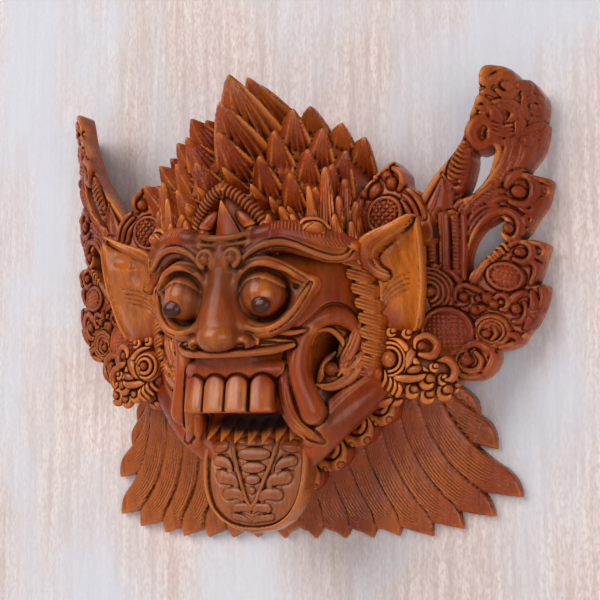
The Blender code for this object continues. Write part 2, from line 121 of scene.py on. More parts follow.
def widths_along(path, widths):
    """The path with a half-width at each of its points, taken evenly from the given ones."""
    shares = np.linspace(0, len(widths) - 1, len(path))
    return [(*point, float(np.interp(share, range(len(widths)), widths))) for point,
            share in zip(path, shares)]


def smaller(first, second, soft=0.0):
    """The smaller of two distances, with their crease filled when soft is over nothing."""
    if soft <= 0:
        return np.minimum(first, second)
    close = np.clip(soft - np.abs(first - second), 0, None) / soft
    return np.minimum(first, second) - close * close * soft * 0.25


def larger(first, second, soft=0.0):
    """The larger of two distances, with their edge rounded when soft is over nothing."""
    return -smaller(-first, -second, soft)


def wing_depth(x, z):
    """How far the wing's face stands off the wall at a place on it: it sweeps forward to the head."""
    slope = np.interp(z, SWEEP_HEIGHTS, SWEEP_SLOPES)
    reach = np.interp(z, SWEEP_HEIGHTS, SWEEP_REACHES)
    return -WING_EDGE_DEPTH - reach * np.tanh((WING_EDGE - x) * slope / reach)


def turned(u, w, tilt):
    """A place in a drawing as it is read after a turn by tilt, in degrees."""
    turn = math.radians(tilt)
    return u * math.cos(turn) + w * math.sin(turn), w * math.cos(turn) - u * math.sin(turn)


def rings_of(count, turn=0.0):
    """Angles that divide a whole turn evenly."""
    return [turn + TAU * i / count for i in range(count)]


# The lattice


class Block:
    """Wood on a lattice: how far each point lies outside the surface, less than nothing inside the wood."""

    def __init__(self, low, high, pitch, halved=True):
        self.low = np.array(low, float)
        self.pitch = pitch
        self.halved = halved
        counts = np.ceil((np.array(high) - self.low) / pitch).astype(int) + 1
        self.axes = [(self.low[i] + pitch * np.arange(counts[i])).astype(np.float32) for i in range(3)]
        self.far = np.full(counts, FAR, np.float32)

    def near(self, low, high):
        """The part of the lattice between two corners, and the places of its points."""
        part = []
        for i in range(3):
            count = len(self.axes[i])
            first = math.floor((low[i] - self.low[i]) / self.pitch)
            last = math.ceil((high[i] - self.low[i]) / self.pitch) + 1
            part.append(slice(min(max(first, 0), count), min(max(last, 0), count)))
        x, y, z = (axis[piece] for axis, piece in zip(self.axes, part))
        return tuple(part), x[:, None, None], y[None, :, None], z[None, None, :]

    def join(self, part, far, soft=0.0, away=False, moat=0.0):
        """Adds a form to the wood, or takes it away. A moat is a groove cut round it first."""
        old = self.far[part]
        if moat:
            old = larger(old, np.minimum(moat * MOAT_SHARE - far, old + MOAT_FLOOR), 0.5)
        self.far[part] = larger(old, -far, soft) if away else smaller(old, far, soft)

    def form(self, low, high, far_of, soft=0.0, away=False, moat=0.0):
        """Adds or takes away a form given by a function of place. One over the middle gets its twin."""
        reach = FAR * 0.75 + soft
        low = [value - reach for value in low]
        high = [value + reach for value in high]
        over = self.halved and low[0] < 0
        if over:
            high[0] = max(high[0], -low[0])
        part, x, y, z = self.near(low, high)
        if 0 in self.far[part].shape:
            return
        far = far_of(x, y, z)
        if over:
            far = np.minimum(far, far_of(-x, y, z))
        self.join(part, far.astype(np.float32), soft, away, moat)

    def ball(self, centre, radii, soft=0.0, away=False, tilt=0.0, turn=0.0, moat=0.0):
        """An egg-shaped boss. Tilt turns it like a clock's hand and turn about the vertical, in degrees."""
        cx, cy, cz = centre
        rx, ry, rz = (radii,) * 3 if np.isscalar(radii) else radii
        cos_t, sin_t = math.cos(math.radians(tilt)), math.sin(math.radians(tilt))
        cos_s, sin_s = math.cos(math.radians(turn)), math.sin(math.radians(turn))

        def far_of(x, y, z):
            u, v, w = x - cx, y - cy, z - cz
            u, v = u * cos_s + v * sin_s, v * cos_s - u * sin_s
            u, w = u * cos_t - w * sin_t, w * cos_t + u * sin_t
            near = np.sqrt((u / rx) ** 2 + (v / ry) ** 2 + (w / rz) ** 2)
            steep = np.sqrt((u / rx**2) ** 2 + (v / ry**2) ** 2 + (w / rz**2) ** 2) + 1e-6
            return near * (near - 1) / steep

        reach = max(rx, ry, rz) if tilt or turn else 0
        size = [max(radius, reach) for radius in (rx, ry, rz)]
        low, high = [c - r for c, r in zip(centre, size)], [c + r for c, r in zip(centre, size)]
        self.form(low, high, far_of, soft, away, moat)

    def strand(self, stops, soft=0.0, away=False, flat=1.0, facing=(0, -1, 0), steps=5, moat=0.0):
        """A rounded strip along a curve. Each stop is x, y, z and the half-width there."""
        curve = flowing(stops, steps)
        curve[:, 3] = np.maximum(curve[:, 3], 0.05)
        reach = FAR * 0.75 + soft
        curves = [curve]
        if self.halved and (curve[:, 0] - curve[:, 3]).min() < reach:
            curves.append(curve * (-1, 1, 1, 1))
        ends = np.vstack(curves)
        low, high = (ends[:, :3] - ends[:, 3:]).min(0) - reach, (ends[:, :3] + ends[:, 3:]).max(0) + reach
        part = self.near(low, high)[0]
        if 0 in self.far[part].shape:
            return
        far = np.full(self.far[part].shape, FAR, np.float32)
        facing = np.array(facing, float) / np.linalg.norm(facing)
        for one in curves:
            for a, b in zip(one, one[1:]):
                self.stretch(far, part, a, b, reach, flat, facing)
        self.join(part, far, soft, away, moat)

    def stretch(self, far, part, a, b, reach, flat, facing):
        """Sets one straight stretch of a strand into an array of distances over part of the lattice."""
        half = max(a[3], b[3]) + reach
        small, x, y, z = self.near(np.minimum(a[:3], b[:3]) - half, np.maximum(a[:3], b[:3]) + half)
        inner = tuple(slice(s.start - p.start, s.stop - p.start) for s, p in zip(small, part))
        if any(s.stop <= s.start or s.start < 0 for s in inner):
            inner = tuple(slice(max(s.start, 0), s.stop) for s in inner)
            if any(s.stop <= s.start for s in inner):
                return
            small = tuple(slice(s.start + p.start, s.stop + p.start) for s, p in zip(inner, part))
            x, y, z = (axis[piece] for axis, piece in zip(self.axes, small))
            x, y, z = x[:, None, None], y[None, :, None], z[None, None, :]
        ahead = b[:3] - a[:3]
        long = float(ahead @ ahead) + 1e-9
        u, v, w = x - a[0], y - a[1], z - a[2]
        t = np.clip((u * ahead[0] + v * ahead[1] + w * ahead[2]) / long, 0, 1)
        u, v, w = u - t * ahead[0], v - t * ahead[1], w - t * ahead[2]
        square = u * u + v * v + w * w
        if flat != 1.0:
            out = u * facing[0] + v * facing[1] + w * facing[2]
            square = square + out * out * (1 / flat**2 - 1)
        made = np.sqrt(square) - (a[3] + t * (b[3] - a[3]))
        target = far[inner]
        far[inner] = np.minimum(target, made[tuple(slice(0, n) for n in target.shape)])

    def cone(self, root, tip, radius, sides=0, flutes=0, notch=0.2, bulge=0.8, flat=1.0, soft=0.0, away=False,
             moat=0.0):
        """A pointed spike, round or four-sided, with that many flutes round it."""
        root, tip = np.array(root, float), np.array(tip, float)
        ahead = tip - root
        long = float(np.linalg.norm(ahead))
        ahead /= long
        side = np.cross(ahead, (0, 1, 0))
        side /= np.linalg.norm(side) + 1e-9
        rise = np.cross(side, ahead)
        lean = long / math.hypot(long, radius)

        def far_of(x, y, z):
            u, v, w = x - root[0], y - root[1], z - root[2]
            t = np.clip((u * ahead[0] + v * ahead[1] + w * ahead[2]) / long, 0, 1)
            u, v, w = u - t * long * ahead[0], v - t * long * ahead[1], w - t * long * ahead[2]
            across = u * side[0] + v * side[1] + w * side[2]
            out = (u * rise[0] + v * rise[1] + w * rise[2]) / flat
            along = u * ahead[0] + v * ahead[1] + w * ahead[2]
            reach = radius * (1 - t) ** bulge
            angle = np.arctan2(out, across)
            if sides:
                reach = reach / (np.abs(np.cos(angle)) + np.abs(np.sin(angle))) ** 0.85
            if flutes:
                reach = reach * (1 - notch * (1 - 0.6 * t) * (0.5 - 0.5 * np.cos(flutes * angle)))
            return (np.sqrt(across**2 + out**2 + along**2) - reach) * lean

        low = np.minimum(root, tip) - radius
        high = np.maximum(root, tip) + radius
        self.form(low, high, far_of, soft, away, moat)

    def front(self):
        """The depth at which the wood starts, seen from the front, for each x and z of the lattice."""
        inside = self.far < 0
        first = inside.argmax(axis=1)
        missing = ~inside.any(axis=1)
        before = np.clip(first - 1, 0, None)
        rows, columns = np.indices(first.shape)
        deep = self.far[rows, first, columns]
        shallow = self.far[rows, before, columns]
        share = shallow / np.maximum(shallow - deep, 1e-6)
        depth = self.low[1] + self.pitch * (before + np.clip(share, 0, 1))
        depth[missing] = 0
        self.face = depth

    def on_face(self, path, widths, lift=0.0):
        """A path of x and z laid on the wood as it stood when front was last called, with half-widths."""
        stops = []
        for x, z, half in widths_along(path, widths):
            side = abs(x) if self.halved else x
            i = (side - self.low[0]) / self.pitch
            k = (z - self.low[2]) / self.pitch
            i = min(max(i, 0), self.face.shape[0] - 1.001)
            k = min(max(k, 0), self.face.shape[1] - 1.001)
            a, c = int(i), int(k)
            s, t = i - a, k - c
            low = self.face[a, c] * (1 - s) + self.face[a + 1, c] * s
            high = self.face[a, c + 1] * (1 - s) + self.face[a + 1, c + 1] * s
            stops.append((x, low * (1 - t) + high * t - lift, z, half))
        return stops

    def ridge(self, path, widths, lift=0.0, soft=0.0, steps=5, flat=1.0, moat=0.0):
        """A rounded ridge laid on the wood."""
        self.strand(self.on_face(path, widths, lift), soft=soft, steps=steps, flat=flat, moat=moat)

    def groove(self, path, widths, soft=0.3, steps=4, lift=0.0):
        """A groove cut along the wood, as deep as its half-width."""
        self.strand(self.on_face(path, widths, lift), soft=soft, away=True, steps=steps)

    def relief(self, plan, depth, back, soft=1.2, join_soft=0.0):
        """A board with a relief on it: plan gives its outline and heights, depth where its face lies."""
        part, _, y, _ = self.near(plan.low3, plan.high3)
        face = depth - plan.rise
        steep = np.sqrt(1 + np.minimum(sum(g * g for g in np.gradient(face, plan.pitch)), 3.0))
        front = (face[:, None, :] - y) / steep[:, None, :]
        far = larger(larger(front, y - back[:, None, :]), plan.edge[:, None, :], soft)
        self.join(part, far.astype(np.float32), join_soft)

    def mirrored(self):
        """The whole block, from the half that was carved."""
        if self.halved:
            self.far = np.concatenate([self.far[:0:-1], self.far])
            self.low[0] = -self.axes[0][-1]
            self.axes[0] = np.concatenate([-self.axes[0][:0:-1], self.axes[0]])
            self.halved = False

    def flipped(self):
        """Another block that is this one's mirror image."""
        other = Block.__new__(Block)
        other.far = self.far[::-1]
        other.low = self.low * (1, 1, 1)
        other.low[0] = -self.axes[0][-1]
        other.axes = [-self.axes[0][::-1], self.axes[1], self.axes[2]]
        other.pitch = self.pitch
        other.halved = False
        return other

    def close(self):
        """Leaves air all round, so the skin is closed, and cuts the back, the scoop and the nail hole."""
        self.ball((0, 0, -10), (SKULL_RADII[0] - FACE_WALL, HOLLOW_DEPTH, SKULL_RADII[2] - FACE_WALL),
                  away=True)
        part, x, y, z = self.near((-6, -NAIL_HOLE_DEPTH - 3, 44), (6, 0, 58))
        if 0 not in self.far[part].shape:
            beside = np.hypot(x, z - PAD_HEIGHT + NAIL_HOLE_DROP) - NAIL_HOLE_RADIUS
            self.join(part, larger(beside + 0 * y, -y - NAIL_HOLE_DEPTH), away=True)
        part, x, y, z = self.near(self.low, [axis[-1] for axis in self.axes])
        self.far = np.maximum(self.far, y)
        for axis in range(3):
            ends = [slice(None)] * 3
            for end in (0, -1):
                ends[axis] = end
                self.far[tuple(ends)] = np.maximum(self.far[tuple(ends)], self.pitch * 0.5)

    def distance(self, points):
        """The distance to the surface at each of many points."""
        place = (points - self.low) / self.pitch
        place = np.clip(place, 0, np.array(self.far.shape) - 1.001)
        base = place.astype(int)
        share = place - base
        total = np.zeros(len(points))
        for corner in range(8):
            step = np.array([corner & 1, corner >> 1 & 1, corner >> 2 & 1])
            weight = np.prod(np.where(step, share, 1 - share), axis=1)
            at = base + step
            total += weight * self.far[at[:, 0], at[:, 1], at[:, 2]]
        return total

    def skin(self):
        """The surface as points and four-sided faces: one point in each cell that the surface crosses."""
        counts = np.array(self.far.shape)
        inside = self.far < 0
        cells, places, corners = [], [], []
        for axis in range(3):
            second, third = (axis + 1) % 3, (axis + 2) % 3
            lower, upper = [slice(None)] * 3, [slice(None)] * 3
            lower[axis], upper[axis] = slice(0, -1), slice(1, None)
            crossed = np.argwhere(inside[tuple(lower)] != inside[tuple(upper)])
            ahead = crossed.copy()
            ahead[:, axis] += 1
            first = self.far[tuple(crossed.T)]
            last = self.far[tuple(ahead.T)]
            place = crossed.astype(float)
            place[:, axis] += first / (first - last)
            quad = []
            for step_second, step_third in ((-1, -1), (0, -1), (0, 0), (-1, 0)):
                cell = crossed.copy()
                cell[:, second] += step_second
                cell[:, third] += step_third
                key = (cell[:, 0] * counts[1] + cell[:, 1]) * counts[2] + cell[:, 2]
                quad.append(key)
                cells.append(key)
                places.append(place)
            quad = np.stack(quad, axis=1)
            quad[first > 0] = quad[first > 0][:, ::-1]
            corners.append(quad)
        cells, places, corners = np.concatenate(cells), np.vstack(places), np.vstack(corners)
        known, which = np.unique(cells, return_inverse=True)
        tally = np.bincount(which)
        points = np.stack([np.bincount(which, places[:, i]) / tally for i in range(3)], axis=1)
        return points * self.pitch + self.low, np.searchsorted(known, corners)


class Plan:
    """A drawing of low carving, x across and z up: heights over a sheet, and how far past its outline."""

    def __init__(self, block, low, high):
        self.pitch = block.pitch
        floor, top = block.low[1], block.axes[1][-1]
        self.low3, self.high3 = (low[0], floor, low[1]), (high[0], top, high[1])
        _, x, _, z = block.near(self.low3, self.high3)
        self.x = x[:, :, 0].astype(float)
        self.z = z[:, 0, :].astype(float)
        self.rise = np.zeros((self.x.size, self.z.size))
        self.edge = np.full(self.rise.shape, -FAR)

    def window(self, low, high):
        """The part of the drawing between two corners, and its x and z."""
        part = []
        for value_low, value_high, axis in zip(low, high, (self.x[:, 0], self.z[0])):
            first = int(np.searchsorted(axis, value_low))
            last = int(np.searchsorted(axis, value_high, side="right"))
            part.append(slice(first, last))
        return tuple(part), self.x[part[0]], self.z[:, part[1]]

    def follow(self, stops, steps=6):
        """Round a curve: the share of its half-width, how far along, which side, and the half-width."""
        curve = flowing(stops, steps)
        curve[:, 2] = np.maximum(curve[:, 2], 0.05)
        half = curve[:, 2].max() + 1
        here, x, z = self.window(curve[:, :2].min(0) - half, curve[:, :2].max(0) + half)
        shape = np.broadcast(x, z).shape
        share, along = np.full(shape, 9.0), np.zeros(shape)
        side, width = np.zeros(shape), np.ones(shape)
        gone = 0.0
        for (ax, az, ah), (bx, bz, bh) in zip(curve, curve[1:]):
            long = math.hypot(bx - ax, bz - az)
            if long < 1e-6:
                continue
            reach = max(ah, bh) + 1
            near, u, w = self.window((min(ax, bx) - reach, min(az, bz) - reach),
                                     (max(ax, bx) + reach, max(az, bz) + reach))
            inner = tuple(slice(n.start - h.start, n.stop - h.start) for n, h in zip(near, here))
            u, w = u - ax, w - az
            t = np.clip((u * (bx - ax) + w * (bz - az)) / long**2, 0, 1)
            across = (u * (bz - az) - w * (bx - ax)) / long
            half = ah + t * (bh - ah)
            away = np.hypot(u - t * (bx - ax), w - t * (bz - az)) / half
            better = away < share[inner]
            for kept, found in ((share, away), (along, gone + t * long), (side, across / half),
                                (width, half)):
                kept[inner] = np.where(better, found, kept[inner])
            gone += long
        return here, share, along, side, width

    def strip(self, path, widths, bulge=0.9, lift=0.0, ribs=0.0, flutes=0, notch=0.35, slant=0.0, steps=6,
              outlined=False, cut=MOAT_DEPTH):
        """A rounded strand. Ribs cross it at that pitch, flutes run along it. Lift may change along it."""
        here, share, along, side, half = self.follow(widths_along(path, widths), steps)
        if not np.isscalar(lift):
            lift = np.interp(along / max(along.max(), 1e-6), np.linspace(0, 1, len(lift)), lift)
        if outlined:
            self.edge[here] = np.minimum(self.edge[here], np.clip((share - 1) * half, -FAR, FAR))
        crown = np.sqrt(np.clip(1 - share**2, 0, 1))
        if flutes:
            crown = crown * (1 - notch * (0.5 + 0.5 * np.cos(TAU * flutes * (side + 1) / 2)))
        if ribs:
            wave = 0.5 + 0.5 * np.cos(TAU * (along + slant * np.abs(side * half)) / ribs)
            crown = crown * (1 - notch * wave**2)
        self.lay(here, (share - 1) * half, lift + bulge * half * crown, cut)

    def lay(self, here, past, made, cut=MOAT_DEPTH):
        """Lays a form over the drawing: its height inside its border, and a narrow cut round the outside."""
        ditch = cut * np.clip(1 - np.abs(past - 0.25) / MOAT_WIDTH, 0, 1)
        self.rise[here] = np.where(past < 0, made, self.rise[here] - ditch)

    def incise(self, path, widths, depth=0.8, steps=6):
        """A groove."""
        here, share, *_ = self.follow(widths_along(path, widths), steps)
        self.rise[here] -= np.where(share < 1, depth * (1 - share**2), 0)

    def dome(self, x, z, radii, rise, lift=0.0, tilt=0.0, cut=MOAT_DEPTH):
        """A rounded boss."""
        rx, rz = (radii, radii) if np.isscalar(radii) else radii
        reach = max(rx, rz) + 1
        here, u, w = self.window((x - reach, z - reach), (x + reach, z + reach))
        u, w = turned(u - x, w - z, tilt)
        share = np.hypot(u / rx, w / rz)
        self.lay(here, (share - 1) * min(rx, rz), lift + rise * np.sqrt(np.clip(1 - share**2, 0, 1)), cut)

    def pit(self, x, z, radii, depth):
        """A hollow."""
        rx, rz = (radii, radii) if np.isscalar(radii) else radii
        here, u, w = self.window((x - rx, z - rz), (x + rx, z + rz))
        share = np.hypot((u - x) / rx, (w - z) / rz)
        self.rise[here] -= np.where(share < 1, depth * (1 - share**2), 0)

    def disc(self, x, z, radii, rise, tilt=0.0, cell=1.8, depth=0.6):
        """A low boss with a rim, its face cut in small squares."""
        rx, rz = (radii, radii) if np.isscalar(radii) else radii
        self.dome(x, z, (rx, rz), rise, tilt=tilt)
        turn = math.radians(tilt)
        ring = [(x + 0.93 * (rx * math.cos(a) * math.cos(turn) - rz * math.sin(a) * math.sin(turn)),
                 z + 0.93 * (rx * math.cos(a) * math.sin(turn) + rz * math.sin(a) * math.cos(turn)))
                for a in rings_of(24)]
        self.strip(ring + ring[:1], (0.9,), lift=rise * 0.35)
        here, u, w = self.window((x - rx, z - rx), (x + rx, z + rx))
        u, w = turned(u - x, w - z, tilt)
        share = np.hypot(u / rx, w / rz)
        cuts = np.maximum(np.cos(TAU * u / cell), np.cos(TAU * w / cell))
        self.rise[here] -= np.where(share < 0.8, depth * np.clip(cuts, 0, 1) ** 2, 0)

    def outline(self, points, steps=3, hole=False):
        """Cuts the sheet to a closed outline, or a hole in it."""
        far = polygon_distance(flowing_round(points, steps), self.x, self.z)
        self.edge = np.maximum(self.edge, -far if hole else far)


def polygon_distance(points, x, z):
    """How far each place lies outside a closed outline, less than nothing inside it."""
    square = np.full(np.broadcast(x, z).shape, 1e9)
    inside = np.zeros(square.shape, bool)
    for (ax, az), (bx, bz) in zip(points, np.roll(points, -1, axis=0)):
        long = (bx - ax) ** 2 + (bz - az) ** 2 + 1e-12
        t = np.clip(((x - ax) * (bx - ax) + (z - az) * (bz - az)) / long, 0, 1)
        square = np.minimum(square, (x - ax - t * (bx - ax)) ** 2 + (z - az - t * (bz - az)) ** 2)
        crosses = (az > z) != (bz > z)
        slope = (bx - ax) / (bz - az) if bz != az else 0.0
        inside ^= crosses & (x < ax + (z - az) * slope)
    return np.sqrt(square) * np.where(inside, -1, 1)


def curl(x, z, radius, start, turns=1.2, way=1, inner=0.3):
    """The path of a curl that winds in to its middle, from an angle in degrees."""
    count = max(int(9 * turns), 4)
    path = []
    for i in range(count + 1):
        share = i / count
        angle = math.radians(start) + way * share * turns * TAU
        reach = radius * (1 - (1 - inner) * share)
        path.append((x + reach * math.cos(angle), z + reach * math.sin(angle)))
    return path


# Wings

WING_OUTLINE = ((76.3, 39), (78.7, 41.2), (84.2, 48.3), (90, 54.6), (93.9, 60.1), (96.2, 63.7), (99.9, 72.6),
                (102.7, 79.8), (104, 85.1), (105.6, 94.6), (111.1, 96.1), (115.1, 95.7), (117, 93.4),
                (117.5, 90.8), (119.6, 92.1), (121.6, 92), (123.6, 89.2), (125.5, 85.4), (126, 80.9),
                (125.4, 75.8), (124.6, 74.3), (126.2, 73.6), (125.9, 69.5), (124, 62), (121, 56.3),
                (118.4, 51.6), (117.3, 50.2), (119.8, 49.9), (124.1, 48.9), (127.4, 48), (126.9, 43.2),
                (125.4, 37.7), (123.1, 34), (121.5, 31.2), (119.6, 27.5), (118, 24.3), (115.7, 21.6),
                (115.7, 20.2), (119, 20.8), (123.1, 20), (125.8, 18.3), (124.5, 13.8), (122.9, 7.9),
                (121.3, 2.6), (119.7, 0.3), (122.4, 0.8), (125, -0.1), (124.5, -5.4), (122.5, -11.7),
                (119.6, -17.5), (117.6, -19.7), (115.5, -23.2), (113.1, -26.3), (109.1, -28.1),
                (105.9, -28.6), (104.7, -29.4), (104.6, -33), (102.4, -37.4), (99, -40.4), (95.8, -41.8),
                (91.4, -41.8), (88.6, -40.9), (86, -44), (70, -46), (56, -44), (54, -10), (54, 20), (62, 30),
                )
UPPER_OPENING = (
    (99.6, 58), (102, 57.8), (104.9, 59.3), (107.1, 61.3), (108, 58.7), (107.1, 53.8), (104.6, 48),
    (100.8, 42.9), (97, 39.7), (93.7, 37.8), (95, 41.3), (97, 45.7), (98.4, 50.1), (99.4, 54.5),
)
LOWER_OPENING = (
    (104.4, 27.8), (108.2, 30.2), (109.2, 28), (107.9, 23.5), (108.9, 19.6), (106.6, 17.3), (103.1, 13.7),
    (99.2, 10.1), (96, 6), (94.1, 6), (94.3, 9.9), (95.3, 15.2), (97.5, 20.5), (100.6, 25),
)


def draw_horn(plan):
    """The upper part of the wing: stems, hooks and curls up to the tip."""
    stems = (((110, 72.1), (110.7, 64.3), (108.9, 56.2), (105, 48), (98.9, 40.7), (92.1, 35.1),
              (88.2, 30.2)), ((112.9, 66.3), (112.2, 57.8), (108.6, 49.6), (102.9, 42.2), (96.1, 35.7),
                              (91.7, 29.4), (89.5, 22.9)), ((115.5, 72.8), (115.5, 62.5), (112.7, 53),
                                                            (107.3, 45.1), (100.5, 38.6), (94.8, 31.7),
                                                            (91.8, 23.8)), )
    for stem in stems:
        plan.strip(stem, (1.4, 1.9, 1.8, 1.6, 1.2), bulge=1.15)
    plan.strip(((108.6, 78.9), (112.1, 80.3), (115.5, 80.3), (117.1, 77.4), (117.2, 69.4), (115.8, 60.3),
                (112.7, 52.1), (108.1, 45.6)), (1.5, 1.9, 1.9, 1.3), bulge=1.2)
    plan.strip(((117.4, 77.5), (118.2, 69.5), (116.5, 59.5), (113, 51.2), (109.9, 46.6)), (1.0, 1.5, 1.2))
    # Tip
    plan.strip(((106, 89), (108, 93.6), (112, 94.6), (115.4, 93.4)), (2.2, 2.0, 1.4), bulge=0.8)
    plan.strip(((106.4, 87.2), (109.2, 89), (111.9, 90.8), (115, 92.6), (116.5, 90.7), (115.7, 86.1),
                (113.2, 83.5), (111, 84.9)), (1.2, 2.2, 2.4, 2.0, 1.4), bulge=1.1)
    plan.dome(114.1, 87.6, 2.2, 2.8)
    plan.strip(((104.5, 87.8), (106, 88.6), (107.6, 87.6), (107.3, 85.7)), (0.9, 1.3, 0.9))
    plan.strip(((104.6, 82.6), (107.4, 84.2), (109.8, 82.6)), (0.8, 1.5, 0.8))
    plan.dome(119.8, 88.6, (2.8, 3.1), 2.8)
    plan.strip(curl(122.3, 80.4, 3.7, 120, 1.0, -1, 0.45), (1.9, 1.6, 1.1), bulge=1.1)
    plan.dome(122.5, 80, 1.6, 2.4)
    plan.strip(((118.9, 84.6), (120.6, 85.7), (122.6, 84.4)), (1.0, 1.3, 0.8))
    plan.strip(((119.2, 83.6), (119.3, 78.5), (120.1, 74.2)), (0.9, 1.2, 0.7))
    # Hooks over the upper opening
    plan.strip(((100.5, 72.7), (102.6, 79.4), (105.1, 80.6), (106.9, 78.2), (106.1, 74.7), (104, 74.8)),
               (1.3, 1.8, 1.6, 1.0), bulge=1.1)
    plan.dome(104.6, 76.8, 1.5, 1.6)
    plan.strip(((109.4, 59.8), (108.6, 64.9), (107.5, 70.1), (104.5, 71.9), (101.3, 69.4), (100.1, 65.4),
                (101.5, 61.2), (104.9, 60.6), (107.2, 63.5), (106.3, 66.4)),
               (1.4, 2.0, 2.4, 2.6, 2.3, 1.3), bulge=1.1)
    plan.pit(104.2, 66.3, 2.2, 2.0)
    plan.strip(((109.2, 76.4), (112, 78.5), (114.4, 77.9), (115.6, 75), (113.8, 72.1)), (1.2, 1.7, 1.5, 0.9))
    plan.dome(109.4, 74.6, (2.4, 4.2), 2.6, tilt=12)
    plan.pit(113.3, 75.6, 1.5, 1.8)
    for drop in (0.0, 1.8, 3.5):
        plan.strip(((108.2, 70.6 - drop), (111.6, 69.3 - drop), (114.8, 70.8 - drop)), (0.5, 0.95, 0.5),
                   lift=1.3)
    # Leaf on the outer edge
    plan.strip(((117, 65.8), (120.3, 67.9), (123, 66.4)), (1.0, 1.5, 0.8))
    plan.strip(((123.6, 71.9), (121.5, 70.8), (119.8, 69.3)), (1.4, 1.3, 0.8))
    plan.strip(((120.2, 65), (119.4, 60), (117.4, 54.8), (114.6, 50.6)), (2.8, 2.8, 2.0, 1.0), bulge=0.8,
               flutes=3)
    plan.dome(120.1, 64.4, (2.0, 2.6), 2.6, lift=0.4)
    # Ribbed horn and smooth leaf under it
    plan.strip(((91.9, 43.7), (94.1, 49.8), (96.7, 56.5), (97.3, 61.8)), (3.6, 4.3, 3.6, 1.2), bulge=1.0,
               ribs=2.3, notch=0.45, slant=-0.35)
    plan.pit(92.4, 44.6, 1.9, 2.6)
    plan.strip(((88.4, 33), (89.6, 38.6), (89.2, 44.2), (87.5, 48.4)), (1.4, 1.5, 1.1, 0.5), bulge=1.2)
    plan.strip(((79.5, 27.5), (84, 33.5), (86, 39.5), (87, 46)), (4.4, 4.6, 3.2, 0.7), bulge=0.7)
    plan.incise(((80.5, 28.5), (84.2, 35), (86.2, 43)), (0.6, 0.5, 0.3), 0.9)
    # Curl and comb leaf beside the stems
    plan.strip(curl(89.8, 30.2, 2.2, 220, 1.0, -1, 0.4), (1.0, 1.2, 0.9), lift=1.2)
    plan.strip(((97.2, 29.2), (101.1, 35.1), (105.6, 39.3), (109.4, 42.1)), (1.6, 2.6, 2.6, 1.2), bulge=0.8,
               ribs=1.7, notch=0.4, slant=0.9)
    plan.strip(((96.4, 27.8), (102, 33.8), (108.4, 38.6), (111.4, 38.2)), (0.9, 1.3, 1.0), bulge=1.1)
    plan.strip(((111.3, 44), (113.6, 48.2), (117.2, 49.8), (120.5, 48.2), (121.4, 42.9), (119.8, 37.8),
                (116.5, 35.9), (112.8, 37)), (1.4, 2.0, 2.1, 2.0, 1.6), bulge=1.15)
    plan.dome(115.6, 41.6, (3.0, 2.9), 3.2)
    plan.strip(((121.6, 48.6), (124.8, 47.9), (126.4, 46.4)), (1.2, 1.5, 1.1))
    plan.pit(124.6, 42.6, (1.7, 2.2), 2.2)
    plan.strip(((124, 38.6), (121.8, 34.8), (119.4, 32.6), (115.6, 34.2)), (1.4, 1.9, 1.6, 0.8))


def draw_middle(plan):
    """The C-shaped scroll, the leaf under it and the upright bands by the ear."""
    scroll = ((94.5, 6.4), (95, 15.2), (97.5, 21.8), (101.9, 28.6), (106.4, 32.3), (111.2, 32.9),
              (114.5, 30.4), (115.5, 26.5), (114.2, 21.5), (111.2, 20.1), (108.7, 22.7), (109.2, 26.7))
    plan.strip(scroll, (1.0, 1.6, 1.7, 1.8, 1.7, 1.2), bulge=1.25)
    for inset in (2.6, 4.7):
        side = [(x - inset * 0.82, z + inset * 0.5) for x, z in scroll[:6]]
        plan.strip(side, (0.8, 1.1, 1.0, 0.6), bulge=1.1)
    plan.dome(111.3, 25.2, 2.2, 3.2)
    plan.strip(curl(119, 29, 2.6, 20, 1.0, 1, 0.4), (1.0, 1.3, 0.9))
    plan.strip(((95.8, 2.1), (99.1, 7.4), (103.8, 12.8), (107.6, 16.2)), (2.0, 2.6, 2.6, 1.8), bulge=0.8,
               flutes=3)
    for x, z in ((102.6, 11.6), (104.7, 13.7), (106.8, 15.4), (108.4, 17)):
        plan.strip(((x - 1.8, z + 1.0), (x + 0.6, z + 1.2), (x + 2.0, z - 1.2)), (0.5, 0.8, 0.5), lift=1.4)
    plan.disc(109.1, 3.9, (7.4, 6.0), 3.4, tilt=-14)
    # Bands
    plan.strip(((81.2, 27), (80.6, 17), (80, 5)), (2.0,), bulge=0.9, ribs=1.7, notch=0.45)
    plan.strip(((86.1, 30.4), (85.6, 18), (84.6, 3)), (2.6,), bulge=0.8, flutes=3, notch=0.3)
    plan.strip(((91, 29.4), (90.6, 18), (89.6, 4)), (2.0,), bulge=0.95, ribs=1.7, notch=0.45)
    plan.strip(((94.2, 30.2), (93.6, 18), (92.4, 3)), (1.4,), bulge=1.1)
    for z in (21, 8.5):
        plan.dome(80.8, z, (2.4, 1.4), 2.6)
    # Outer curls
    plan.strip(((111.5, 17.9), (114.9, 19.8), (118.2, 19), (119.7, 15.5), (118.8, 11.9), (115.8, 10.5),
                (112.8, 11.7)), (1.1, 1.7, 1.8, 1.7, 1.2), bulge=1.15)
    plan.dome(115.2, 14.8, (2.5, 2.1), 2.9)
    plan.strip(((119, 19.9), (122.8, 19.1), (125, 16.1), (123.4, 12.4), (120.9, 13.2)), (1.0, 1.9, 1.7, 0.9))
    plan.strip(((119.9, 10.3), (121.6, 8), (120.6, 4.2), (118.6, 1.4)), (1.4, 2.0, 1.6, 0.8), bulge=1.0)


